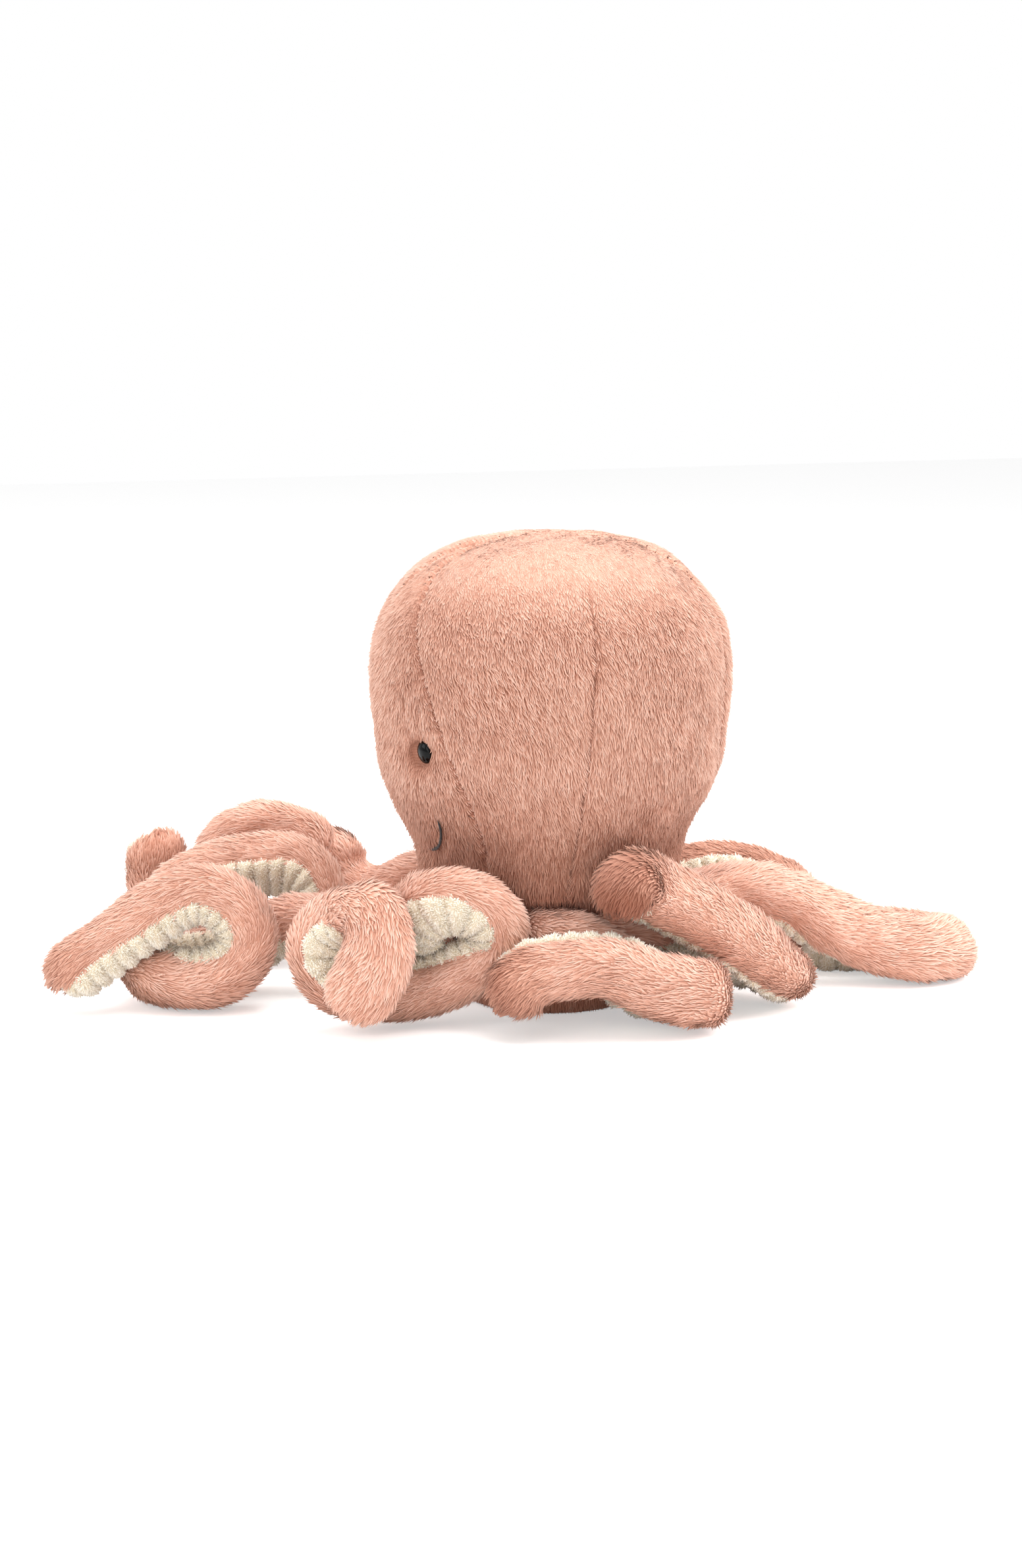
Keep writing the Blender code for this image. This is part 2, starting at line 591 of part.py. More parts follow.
def arm_rings(bearing, route):
    # Rings closer together where the arm bends, each with its place, three directions and bend
    fine = arm_line(bearing, route)
    places = fine[:, :3]
    steps = np.linalg.norm(np.diff(places, axis=0), axis=1)
    travelled = np.concatenate([[0.0], np.cumsum(steps)])
    along = np.gradient(places, travelled, axis=0)
    along /= np.linalg.norm(along, axis=1)[:, None]
    bend = evened(np.gradient(along, travelled, axis=0), bend_window)
    bend_size = np.linalg.norm(bend, axis=1)
    facing = fine[:, 3:] - (fine[:, 3:] * along).sum(axis=1)[:, None] * along
    facing /= np.linalg.norm(facing, axis=1)[:, None]
    twist_size = np.abs((np.gradient(facing, travelled, axis=0) * np.cross(along, facing)).sum(axis=1))
    density = 1 / longest_ring_step + bend_size / math.radians(largest_ring_turn)
    density += twist_size / math.radians(largest_ring_twist)
    wanted = np.concatenate([[0.0], np.cumsum((density[1:] + density[:-1]) / 2 * steps)])
    ring_count = int(math.ceil(wanted[-1]))
    at = np.interp(np.linspace(0.0, wanted[-1], ring_count + 1), wanted, travelled)
    at[1] = taper_length_shares[1] * travelled[-1]
    at[-2] = (at[-1] + at[-3]) / 2
    at = np.sort(np.append(at, at[-1] - half_thickness / 4))
    ring_places = np.stack([np.interp(at, travelled, places[:, k]) for k in range(3)], axis=1)
    ring_along = np.stack([np.interp(at, travelled, along[:, k]) for k in range(3)], axis=1)
    ring_along /= np.linalg.norm(ring_along, axis=1)[:, None]
    ring_bend = np.stack([np.interp(at, travelled, bend[:, k]) for k in range(3)], axis=1)
    facing = np.stack([np.interp(at, travelled, facing[:, k]) for k in range(3)], axis=1)
    facing -= (facing * ring_along).sum(axis=1)[:, None] * ring_along
    facing /= np.linalg.norm(facing, axis=1)[:, None]
    across = np.cross(ring_along, facing)
    return ring_places, ring_along, facing, across, ring_bend, at / travelled[-1]


def layer(rings, turns, depth):
    # One layer of an arm: points at the given turns from the middle of its back, a depth inside
    places, along, facing, across, bend, shares = rings
    wide = half_width * np.interp(shares, taper_length_shares, taper_width_shares)
    thick = half_thickness * np.interp(shares, taper_length_shares, taper_thickness_shares)
    out = (across[:, None] * (wide[:, None] * np.sin(turns))[..., None]
           - facing[:, None] * (thick[:, None] * np.cos(turns))[..., None])
    size = np.linalg.norm(out, axis=2, keepdims=True)
    inward = np.minimum(depth, size * deepest_layer_share)
    into_bend = np.maximum((out * bend[:, None]).sum(axis=2), crumple_limit_share)
    crumple = crumple_limit_share / into_bend
    out = out * (1 - inward / size) * crumple[..., None]
    points = places[:, None] + out
    points[..., 2] = np.maximum(points[..., 2], floor_clearance + depth * crumple)
    return points


def strip_faces(rows, columns, closed=False):
    # Faces over a grid of rings, wound so that they look away from the arm's middle line
    faces = []
    reach = columns if closed else columns - 1
    for i in range(rows - 1):
        for j in range(reach):
            after = (j + 1) % columns
            faces.append((i * columns + j, (i + 1) * columns + j, (i + 1) * columns + after, i * columns + after))
    return faces


def sheet_with_tip(rings, turns, depths, setback):
    # A sewn layer of an arm that runs to a point past its last ring
    sheets = []
    places, along, facing = rings[:3]
    for depth in depths:
        points = layer(rings, turns, depth)
        tip = places[-1] + along[-1] * (half_thickness / 3 - depth - setback) + facing[-1] * setback * 2
        tip[2] = max(tip[2], floor_clearance + depth)
        sheets.append(np.vstack([points.reshape(-1, 3), tip]))
    rows = len(places)
    columns = len(turns)
    faces = strip_faces(rows, columns)
    pole = rows * columns
    for j in range(columns - 1):
        faces.append(((rows - 1) * columns + j, pole, (rows - 1) * columns + j + 1))
    return thick_sheet(sheets[0], sheets[1], faces)


def arm(name, bearing, route):
    # A fur sleeve open along its underside, the cream strip that closes it, and its filling
    rings = arm_rings(bearing, route)
    out = on_head(np.array([bearing]), arm_axis_radius, arm_root_height)[0]
    seam = bpy.data.objects.new(name + "_seam", None)
    seam.location = out
    bpy.context.scene.collection.objects.link(seam)
    bpy.context.view_layer.update()
    points, faces = sheet_with_tip(rings, sleeve_turns, (0.0, arm_cloth_thickness), 0.0)
    add_solid(name + "_sleeve", points, faces, pink_fur, seam)
    strip_gap = math.asin(min(1.0, sewing_clearance * 4 / half_thickness))
    strip_turns = np.array([seam_turn + strip_gap, 2 * math.pi - seam_turn - strip_gap])
    points, faces = sheet_with_tip(rings, strip_turns, (0.0, arm_cloth_thickness), pole_setback)
    add_solid(name + "_underside", points, faces, cream_cloth, seam)
    inner = [part[1:-2] for part in rings]
    filling_turns = (np.arange(filling_sides) + 0.5) * 2 * math.pi / filling_sides
    filling = layer(inner, filling_turns, arm_cloth_thickness + arm_filling_clearance)
    rows = len(inner[0])
    sides = len(filling_turns)
    faces = strip_faces(rows, sides, closed=True)
    faces += [tuple(range(sides)), tuple(reversed(range((rows - 1) * sides, rows * sides)))]
    add_solid(name + "_stuffing", filling.reshape(-1, 3), faces, polyester_filling, seam)


for arm_name, (root_bearing, route_shares) in arm_route_shares.items():
    arm(arm_name, root_bearing, route_shares)
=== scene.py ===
# Plush octopus: a tall fur head, a bean base and eight curled arms with ribbed cream undersides
import math

import bpy
import numpy as np
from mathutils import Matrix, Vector


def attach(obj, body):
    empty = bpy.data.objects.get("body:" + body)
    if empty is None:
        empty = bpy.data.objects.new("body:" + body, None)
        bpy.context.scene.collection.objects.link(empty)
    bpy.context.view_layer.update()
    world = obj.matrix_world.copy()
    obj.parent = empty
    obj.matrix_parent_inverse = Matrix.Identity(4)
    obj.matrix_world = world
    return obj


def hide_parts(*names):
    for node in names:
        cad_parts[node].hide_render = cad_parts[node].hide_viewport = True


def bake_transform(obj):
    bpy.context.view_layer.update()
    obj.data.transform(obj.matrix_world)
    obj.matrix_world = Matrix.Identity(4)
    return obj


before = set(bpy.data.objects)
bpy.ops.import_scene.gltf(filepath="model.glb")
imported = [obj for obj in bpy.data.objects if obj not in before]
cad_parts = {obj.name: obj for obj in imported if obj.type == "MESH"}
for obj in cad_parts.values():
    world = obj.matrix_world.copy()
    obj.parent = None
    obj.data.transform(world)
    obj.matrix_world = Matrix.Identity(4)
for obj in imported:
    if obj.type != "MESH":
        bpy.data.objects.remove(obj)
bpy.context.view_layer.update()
scene = bpy.context.scene
mm = 0.001
print("frame loaded:", len(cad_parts), "nodes")


# Colour, noise and mesh helpers

def srgb(hexColour):
    # sRGB hex to the linear values that shaders want
    channels = [int(hexColour[k:k + 2], 16) / 255 for k in (0, 2, 4)]
    return [c / 12.92 if c <= 0.04045 else ((c + 0.055) / 1.055) ** 2.4 for c in channels] + [1.0]


noiseTable = np.random.default_rng(11).uniform(-1, 1, (256, 256))


def softNoise(u, v, size, shift=0.0):
    # Smooth random values from -1 to 1: a table read at u/size and v/size, eased between entries
    x = u / size + 17.3 * shift
    y = v / size + 9.7 * shift
    i = np.floor(x).astype(int)
    j = np.floor(y).astype(int)
    fx = x - i
    fy = y - j
    fx = fx * fx * (3 - 2 * fx)
    fy = fy * fy * (3 - 2 * fy)
    size = len(noiseTable)
    i, nextI, j, nextJ = i % size, (i + 1) % size, j % size, (j + 1) % size
    low = noiseTable[i, j] * (1 - fx) + noiseTable[nextI, j] * fx
    high = noiseTable[i, nextJ] * (1 - fx) + noiseTable[nextI, nextJ] * fx
    return low * (1 - fy) + high * fy


def unit(vectors):
    return vectors / np.maximum(np.linalg.norm(vectors, axis=-1, keepdims=True), 1e-12)


def makeMesh(name, points, faces, finish, cornerUv=None, pile=None, smooth=True):
    # A mesh from whole arrays: points, faces of one size, a UV for each face corner, and the pile
    # value of each point, 0 at a fibre's root and 1 at its tip
    mesh = bpy.data.meshes.new(name)
    faces = np.asarray(faces)
    sides = faces.shape[1]
    mesh.vertices.add(len(points))
    mesh.vertices.foreach_set("co", np.asarray(points, np.float32).ravel())
    mesh.loops.add(faces.size)
    mesh.loops.foreach_set("vertex_index", faces.astype(np.int32).ravel())
    mesh.polygons.add(len(faces))
    mesh.polygons.foreach_set("loop_start", (np.arange(len(faces)) * sides).astype(np.int32))
    mesh.polygons.foreach_set("loop_total", np.full(len(faces), sides, np.int32))
    mesh.polygons.foreach_set("use_smooth", np.full(len(faces), smooth))
    mesh.update(calc_edges=True)
    if cornerUv is not None:
        layer = mesh.uv_layers.new(name="OFBake")
        layer.data.foreach_set("uv", np.asarray(cornerUv, np.float32).ravel())
    if pile is not None:
        attribute = mesh.attributes.new("pile", "FLOAT", "POINT")
        attribute.data.foreach_set("value", np.asarray(pile, np.float32))
    mesh.materials.append(finish)
    piece = bpy.data.objects.new(name, mesh)
    scene.collection.objects.link(piece)
    return piece


def gridNormals(grid):
    # The surface's normals on a grid of points: the cross product of its two slopes
    return unit(np.cross(np.gradient(grid, axis=1), np.gradient(grid, axis=0)))


flattestLean = 84  # degrees from upright; a fibre that leans further dips under the skin
lowestTip = 0.2 * mm


def furSkin(name, grid, flow, length, lean, look, finish, seed, paintedShading=1.0, rootTone=0.0):
    # Fur on a grid of points. Every cell's middle is pulled out into a four-sided fibre, which
    # leans from the normal along the flow by the angle lean, with clumped changes of direction
    # and length and a little scatter of its own. Length, lean and the painted shading have a value
    # for each cell; the painted shading darkens a fibre's colour where shadow is painted and
    # lightens it where light is painted, and rootTone is the pile value between the fibres.
    rng = np.random.default_rng(seed)
    rows, columns = grid.shape[:2]
    normals = gridNormals(grid)
    middle = (grid[:-1, :-1] + grid[1:, :-1] + grid[:-1, 1:] + grid[1:, 1:]) / 4
    normal = unit(normals[:-1, :-1] + normals[1:, :-1] + normals[:-1, 1:] + normals[1:, 1:])
    stream = flow[:-1, :-1] + flow[1:, 1:]
    stream = unit(stream - (stream * normal).sum(-1, keepdims=True) * normal)
    side = np.cross(normal, stream)
    stepU = np.linalg.norm(np.diff(middle, axis=0, prepend=middle[:1]), axis=2)
    stepV = np.linalg.norm(np.diff(middle, axis=1, prepend=middle[:, :1]), axis=2)
    u = np.cumsum(stepU.mean(axis=1))[:, None] + 0 * stepU
    v = np.cumsum(stepV, axis=1) - stepV.sum(axis=1, keepdims=True) / 2
    tuft = look["tuft"]
    yaw = look["swirl"] * softNoise(u, v, tuft * 3.5, seed)
    yaw += look["yaw"] * softNoise(u, v, tuft, seed + 1)
    yaw += rng.normal(0, look["scatter"], yaw.shape)
    rise = softNoise(u / 1.6, v, tuft * 0.7, seed + 2)
    lean = lean + np.radians(look["leanWander"]) * softNoise(u, v, tuft * 1.3, seed + 3)
    lean = lean + rng.normal(0, np.radians(look["leanScatter"]), lean.shape)
    lean = np.minimum(lean, np.radians(flattestLean))
    long = length * (1 + look["uneven"] * rise + rng.normal(0, look["ragged"], length.shape))
    # cells crowd together at a pole or inside a bend, where most fibres stay short
    room = stepU * stepV
    stepU[0], room[0], room[:, 0] = stepU[1], room[1], room[:, 1]
    kept = rng.uniform(size=room.shape) < 1.2 * room / np.quantile(room, 0.9)
    long = long * np.where(kept, 1.0, 0.3)
    turned = stream * np.cos(yaw)[..., None] + side * np.sin(yaw)[..., None]
    fibre = normal * np.cos(lean)[..., None] + turned * np.sin(lean)[..., None]
    tips = middle + long[..., None] * fibre
    tips[..., 2] = np.maximum(tips[..., 2], lowestTip)
    tone = 0.72 + 0.13 * rise + 0.18 * softNoise(u / 3, v, tuft * 0.22, seed + 5)
    tone = tone + rng.normal(0, 0.12, rise.shape)
    # painted shadow and painted light from the caller darken or lighten each fibre's tone
    tone = np.clip(np.clip(tone, 0.25, 1.0) * paintedShading, 0.0, 1.0)
    corners = np.arange(rows * columns).reshape(rows, columns)
    a, b, c, d = corners[:-1, :-1], corners[:-1, 1:], corners[1:, 1:], corners[1:, :-1]
    tip = rows * columns + np.arange((rows - 1) * (columns - 1)).reshape(rows - 1, columns - 1)
    faces = np.stack([a, b, tip, b, c, tip, c, d, tip, d, a, tip], axis=-1).reshape(-1, 3)
    cell = np.stack(np.indices((rows - 1, columns - 1)), axis=-1)
    within = np.array([(0, 0), (0, 1), (1, 1), (1, 0), (0.5, 0.5)])
    order = [0, 1, 4, 1, 2, 4, 2, 3, 4, 3, 0, 4]
    cornerUv = ((cell[:, :, None] + within[order]) / (rows - 1, columns - 1)).reshape(-1, 2)
    points = np.concatenate([grid.reshape(-1, 3), tips.reshape(-1, 3)])
    pile = np.concatenate([(rootTone + np.zeros((rows, columns))).ravel(), tone.ravel()])
    piece = makeMesh(name, points, faces, finish, cornerUv, pile)
    tilt = side * rng.normal(0, look["shadeSide"], yaw.shape)[..., None]
    tipNormals = unit(normal * look["shadeUp"] + turned * (1 - look["shadeUp"]) + tilt)
    shading = np.concatenate([normals.reshape(-1, 3), tipNormals.reshape(-1, 3)])
    corner = points[faces]
    facing = unit(np.cross(corner[:, 1] - corner[:, 0], corner[:, 2] - corner[:, 0]))
    mixed = unit(shading[faces] * (1 - look["faceted"]) + facing[:, None] * look["faceted"])
    piece.data.normals_split_custom_set(mixed.reshape(-1, 3))
    return piece


def closedForm(name, rings, finish):
    # Rings of points joined into one closed form, with a fan of triangles over each end, turned
    # the right way out by the sign of its volume
    rows, columns = rings.shape[:2]
    k = np.arange(rows * columns).reshape(rows, columns)
    a, b, c, d = k[:-1], np.roll(k[:-1], -1, axis=1), np.roll(k[1:], -1, axis=1), k[1:]
    first = np.full(columns, rows * columns)
    faces = np.concatenate([np.stack([a, b, c], axis=-1).reshape(-1, 3),
                            np.stack([a, c, d], axis=-1).reshape(-1, 3),
                            np.stack([first, np.roll(k[0], -1), k[0]], axis=-1),
                            np.stack([first + 1, k[-1], np.roll(k[-1], -1)], axis=-1)])
    points = np.concatenate([rings.reshape(-1, 3), rings[:1].mean(axis=1), rings[-1:].mean(axis=1)])
    corner = points[faces]
    volume = (np.cross(corner[:, 0], corner[:, 1]) * corner[:, 2]).sum()
    return makeMesh(name, points, faces if volume > 0 else faces[:, ::-1], finish)


# Materials

def addNode(tree, kind, values=None, **settings):
    # A node with its settings; values gives each input a constant or another node's output
    made = tree.nodes.new(kind)
    for key, value in settings.items():
        setattr(made, key, value)
    for key, value in (values or {}).items():
        if isinstance(value, bpy.types.NodeSocket):
            tree.links.new(value, made.inputs[key])
        else:
            made.inputs[key].default_value = value
    return made


def newMaterial(name):
    made = bpy.data.materials.new(name)
    made.use_nodes = True
    return made, made.node_tree, made.node_tree.nodes["Principled BSDF"]


def setInputs(shader, values):
    for key, value in values.items():
        shader.inputs[key].default_value = value


def setRamp(ramp, stops):
    # Colour stops of a ramp: share along it and an sRGB hex colour
    elements = ramp.color_ramp.elements
    while len(elements) < len(stops):
        elements.new(0.5)
    for element, (place, colour) in zip(elements, stops):
        element.position = place
        element.color = srgb(colour)


def furMaterial(name, stops, patchSize, patchColour, patchShare):
    # Polyester faux fur, knitted pile: dark between the roots as painted shadow down in the pile,
    # pale at the tips, in soft patches
    made, tree, shader = newMaterial(name)
    pile = addNode(tree, "ShaderNodeAttribute", attribute_name="pile")
    ramp = addNode(tree, "ShaderNodeValToRGB", {"Fac": pile.outputs["Fac"]})
    setRamp(ramp, stops)
    place = addNode(tree, "ShaderNodeTexCoord")
    patches = addNode(tree, "ShaderNodeTexNoise",
                      {"Vector": place.outputs["Object"], "Scale": 1 / patchSize,
                       "Detail": 3.0, "Roughness": 0.6})
    amount = addNode(tree, "ShaderNodeMapRange",
                     {"Value": patches.outputs["Fac"], "From Min": 0.35, "From Max": 0.65,
                      "To Max": patchShare})
    mixed = addNode(tree, "ShaderNodeMix",
                    {"Factor": amount.outputs["Result"], 6: ramp.outputs["Color"],
                     7: srgb(patchColour)}, data_type="RGBA", blend_type="MIX")
    tree.links.new(mixed.outputs[2], shader.inputs["Base Color"])
    setInputs(shader, {"Roughness": 0.85, "Specular IOR Level": 0.2, "Sheen Weight": 0.4,
                       "Sheen Roughness": 0.5, "Sheen Tint": srgb("FFE8DC")})
    return made


# the darkest stop, at the roots, is painted shadow between the fibres
headFur = furMaterial("plushFurHead", [(0.0, "8E5843"), (0.3, "C8927C"), (0.55, "E2B4A0"),
                                       (0.8, "EFCCBA"), (1.0, "F7E0D2")], 60 * mm, "DCAE9A", 0.2)
armFur = furMaterial("plushFurArms", [(0.0, "8E5641"), (0.3, "CF9780"), (0.55, "EABAA6"),
                                      (0.8, "F5D0BF"), (1.0, "FDE6DA")], 45 * mm, "E3B29E", 0.2)


def plainMaterial(name, colour, roughness, bumpSize=0.0, bumpDepth=0.0, sheen=0.0):
    # A cloth or plastic with one colour and, where asked, a fine grain
    made, tree, shader = newMaterial(name)
    setInputs(shader, {"Base Color": srgb(colour), "Roughness": roughness, "Sheen Weight": sheen})
    if bumpSize:
        place = addNode(tree, "ShaderNodeTexCoord")
        grain = addNode(tree, "ShaderNodeTexNoise",
                        {"Vector": place.outputs["Object"], "Scale": 1 / bumpSize, "Detail": 4.0})
        bump = addNode(tree, "ShaderNodeBump",
                       {"Height": grain.outputs["Fac"], "Distance": bumpDepth})
        tree.links.new(bump.outputs["Normal"], shader.inputs["Normal"])
    return made


# Cotton terry: short cream loops, with a little painted shadow between them. The base's fur is
# painted a deeper pink, painted shadow under the arms.
creamTerry = furMaterial("creamTerryCloth", [(0.0, "D2C0A0"), (0.45, "F9F1E2"), (0.75, "FFFAF1"),
                                             (1.0, "FFFEFA")], 30 * mm, "F9F0DE", 0.2)
baseFur = furMaterial("plushFurBase", [(0.0, "A8654F"), (0.45, "D39880"), (0.75, "E4AE98"),
                                       (1.0, "F0C3AF")], 45 * mm, "C98C74", 0.35)
# Moulded nylon and polished acrylic, the one dull and the other with a small sharp highlight;
# dull twisted thread; matt fibre and cotton, whose grain is drawn coarser than it is
nylonWasher = plainMaterial("whiteNylonWasher", "EDEDEA", 0.45, 2 * mm, 0.05 * mm)
eyePlastic = plainMaterial("blackAcrylic", "030303", 0.06)
eyePlastic.node_tree.nodes["Principled BSDF"].inputs["Specular IOR Level"].default_value = 0.14
blackThread = plainMaterial("blackEmbroideryThread", "0C0908", 0.6, 0.4 * mm, 0.2 * mm, 0.2)
fibreFill = plainMaterial("polyesterFibrefill", "F5F3EE", 1.0, 3 * mm, 1 * mm)
beanCloth = plainMaterial("calicoPouch", "E8DFD0", 0.95, 0.6 * mm, 0.2 * mm)


# Curves

def smoothLine(points, count):
    # A natural cubic curve through the points, read at evenly spaced lengths. The first three
    # columns, or the only two, are a place, and the others follow it.
    points = np.asarray(points, float)
    last = len(points) - 1
    knots = distances(points)
    steps = np.linalg.norm(np.diff(points[:, :3], axis=0), axis=1)
    system = np.zeros((last + 1, last + 1))
    bends = np.zeros_like(points)
    system[0, 0] = 1.0
    system[last, last] = 1.0
    inner = np.arange(1, last)
    system[inner, inner - 1] = steps[:-1]
    system[inner, inner] = 2 * (steps[:-1] + steps[1:])
    system[inner, inner + 1] = steps[1:]
    slopes = np.diff(points, axis=0) / steps[:, None]
    bends[1:-1] = 6 * np.diff(slopes, axis=0)
    curve = np.linalg.solve(system, bends)
    at = np.linspace(0.0, knots[-1], count)
    part = np.clip(np.searchsorted(knots, at) - 1, 0, last - 1)
    step = steps[part][:, None]
    after = (at - knots[part])[:, None]
    before = step - after
    cubic = (curve[part] * before ** 3 + curve[part + 1] * after ** 3) / (6 * step)
    straight = (points[part] / step - curve[part] * step / 6) * before
    return cubic + straight + (points[part + 1] / step - curve[part + 1] * step / 6) * after


def readAlong(points, travelled, at):
    return np.stack([np.interp(at, travelled, column) for column in points.T], axis=1)


def distances(points):
    steps = np.linalg.norm(np.diff(points[:, :3], axis=0), axis=1)
    return np.concatenate([[0.0], np.cumsum(steps)])


# Padding: how the filling pushes the cloth out between its seams

padding = {
    "pressure": 4.0,
    "steps": 20,
    "headRings": (56, 72),  # rings and points round each for the head's cloth, then an arm's
    "armRings": (72, 24),
    "headCap": 2.6 * mm,  # the most that a point may move
    "armCap": 1.1 * mm,
    "headGrowth": 0.02,  # how much the cloth is cut larger than the form
    "armGrowth": 0.04,
}


def evenedTable(table):
    # Each value averaged with the four beside it, the columns closed into a ring
    beside = np.roll(table, 1, axis=1) + np.roll(table, -1, axis=1)
    above = np.vstack([table[:1], table[:-1]]) + np.vstack([table[1:], table[-1:]])
    return (table * 2 + beside + above) / 6


def puffed(rings, held, cap, growth):
    # The rings are closed into a form of cloth and blown up from inside with no gravity, while the
    # points of its seams are held. What comes back is how far each point moved out, less the mean
    # of them all, so that the form fills out between its seams and keeps its size.
    form = closedForm("puffForm", rings, fibreFill)
    mesh = form.data

    def readRings(vertices, field):
        values = np.empty(len(mesh.vertices) * 3, np.float32)
        vertices.foreach_get(field, values)
        return values.reshape(-1, 3)[:rings.size // 3].reshape(rings.shape)
    seams = form.vertex_groups.new(name="seams")
    seams.add(np.flatnonzero(held.ravel()).tolist(), 1.0, "REPLACE")
    cloth = form.modifiers.new("cloth", "CLOTH")
    cloth.settings.use_pressure = True
    cloth.settings.uniform_pressure_force = padding["pressure"]
    cloth.settings.vertex_group_mass = seams.name
    cloth.settings.shrink_min = -growth
    cloth.settings.effector_weights.gravity = 0
    for step in range(1, padding["steps"] + 1):
        scene.frame_set(step)
    puffedForm = form.evaluated_get(bpy.context.evaluated_depsgraph_get())
    moved = readRings(puffedForm.data.vertices, "co") - rings
    normals = readRings(mesh.vertices, "normal")
    bpy.data.objects.remove(form)
    bpy.data.meshes.remove(mesh)
    scene.frame_set(1)
    out = evenedTable(evenedTable(cap * np.tanh((moved * normals).sum(-1) / cap)))
    print("puffed, mm:", round(float(out.min() / mm), 2), "to", round(float(out.max() / mm), 2))
    return out - out.mean()


def readTable(table, rowShare, turnShare):
    # The table's value at shares of its rows and of a whole turn, eased between its entries
    rowPlace = np.clip(rowShare, 0, 1) * (len(table) - 1)
    turnPlace = np.mod(turnShare, 1.0) * table.shape[1]
    i = np.minimum(np.floor(rowPlace).astype(int), len(table) - 2)
    j = np.floor(turnPlace).astype(int) % table.shape[1]
    fi = rowPlace - i
    fj = turnPlace - np.floor(turnPlace)
    after = (j + 1) % table.shape[1]
    low = (1 - fj) * table[i, j] + fj * table[i, after]
    high = (1 - fj) * table[i + 1, j] + fj * table[i + 1, after]
    return (1 - fi) * low + fi * high


# Head

head = {
    "neckHeight": 33 * mm,
    "skinDepth": 2.4 * mm,  # from the fur's outline down to its backing cloth
    "fibreLength": 4.6 * mm,
    "lean": 62,  # degrees from upright
    "cellAcross": 1.0 * mm,
    "cellAlong": 1.45 * mm,
    "seamDepth": 2.6 * mm,
    "seamWidth": 2.2 * mm,
    "backSeam": 145,  # degrees from the middle of the face
    "dartTop": 231 * mm,
    "calmRadius": 45 * mm,  # nearer the crown than this, seams and dents fade
    "crownStart": 204 * mm,  # above this the fur turns short and lies flat
    "crownLean": 83,
    "tuftPitch": 4.2 * mm,  # one tuft of fur caught in the seam to the next
    "eyeBearing": 21.5,
    "eyeHeight": 142 * mm,
    "eyeRadius": 6 * mm,
    "eyeDimple": 3.6 * mm,
    "dimpleInward": 2.2,  # degrees from the eye to the dimple's middle
    "puckerDepth": 1.9 * mm,  # from one tuft to the next along a seam
    "bigDents": (0.9 * mm, 34 * mm),  # depth and size
    "smallDents": (0.45 * mm, 13 * mm),
    "dimpleWidth": 9 * mm,
    "skirtTop": 84 * mm,  # below this the fur turns long and loose
    "skirtFall": 18 * mm,
    "paintedShadeTop": 130 * mm,  # below this the fur is painted darker, painted shadow under the head's overhang
    "paintedShadeFall": 70 * mm,
    "paintedNeckShade": 0.5,
    # painted shadow in the eye's dimple
    "paintedSocketShade": 0.85,
    "look": {"tuft": 4.0 * mm, "swirl": 0.16, "yaw": 0.22, "scatter": 0.16, "leanWander": 5,
             "leanScatter": 5, "uneven": 0.16, "ragged": 0.1, "shadeUp": 0.85, "shadeSide": 0.12,
             "faceted": 0.4},
}

# The head's outline with its fur: radius and height in mm, from the neck up
headOutline = [
    (48, 33), (49, 50), (56, 60), (66.4, 68), (71.7, 81), (77.3, 94.5), (82.3, 105), (87.2, 115.8),
    (91, 126.4), (94.6, 147.6), (96, 168.8), (94.8, 190), (92.5, 200.7), (88.5, 211), (82, 222),
    (73, 232.6), (57, 243), (30, 250.6), (0, 253),
]
faceSeamHeights = np.array([33, 60, 88, 103, 118, 130, 145, 160, 180, 198, 219, 235, 253]) * mm
faceSeamBearings = np.array([38, 38.4, 38.8, 38.8, 37.4, 34.6, 32, 28.2, 23.6, 18.6, 13, 8.4, 3.4])
dartHeights = np.array([60, 80, 105, 150, 190, 231]) * mm
dartBearings = np.array([75.6, 76.6, 78.2, 80.2, 81.6, 82.4])


def onHead(bearing, radius, height):
    # A point at a bearing in degrees from the face, turning towards +X
    turn = np.radians(bearing)
    return np.stack([radius * np.sin(turn), -radius * np.cos(turn), height + 0 * turn], axis=-1)


fineOutline = smoothLine(np.array(headOutline) * mm, 900)
fineOutline[:, 0] = np.maximum(fineOutline[:, 0], 0.0)


def outlineRadius(height):
    return np.interp(height, fineOutline[:, 1], fineOutline[:, 0])


# How the fur is combed: its slant from straight down, away from the face's middle where it is
# negative, at bearings from the middle of the face
combBearings = np.array([0, 15, 35, 60, 83, 100, 140, 180])
combSlants = np.array([0, -0.3, -0.3, -0.12, 0, 0.28, 0.3, 0])

mouth = {
    # bearing in degrees and height, from the middle of the smile to its left end
    "line": [(0, 87.6 * mm), (7, 87.2 * mm), (12, 88.0 * mm), (16.5, 90.8 * mm),
             (19.8, 95.6 * mm), (21.6, 100.5 * mm), (22, 106 * mm)],
    "threadWidth": 1.8 * mm,
    "threadThickness": 1.1 * mm,
    "depth": 1.5 * mm,  # from the fur's outline down to the thread's middle
    "crease": 1.3 * mm,
    "stitchLength": 3.2 * mm,
}
mouthHalf = np.array(mouth["line"])
mouthSeen = np.vstack([mouthHalf[:0:-1] * (-1, 1), mouthHalf])
mouthRadius = 75 * mm  # of the head there
mouthArc = np.radians(mouthSeen[:, 0]) * mouthRadius
mouthLine = smoothLine(np.column_stack([mouthSeen[:, 1], mouthArc]), 160)
mouthHeights = mouthLine[:, 0]
mouthBearings = np.degrees(mouthLine[:, 1] / mouthRadius)


def mouthDistance(arc, height):
    # How far each point of the head lies from the line of the smile
    lineArc = np.radians(mouthBearings) * outlineRadius(mouthHeights)
    nearest = np.full(np.broadcast_shapes(arc.shape, height.shape), 1.0)
    for alongArc, alongHeight in zip(lineArc[::4], mouthHeights[::4]):
        nearest = np.minimum(nearest, np.hypot(arc - alongArc, height - alongHeight))
    return nearest


def faceSeam(height):
    return np.interp(height, faceSeamHeights, faceSeamBearings)


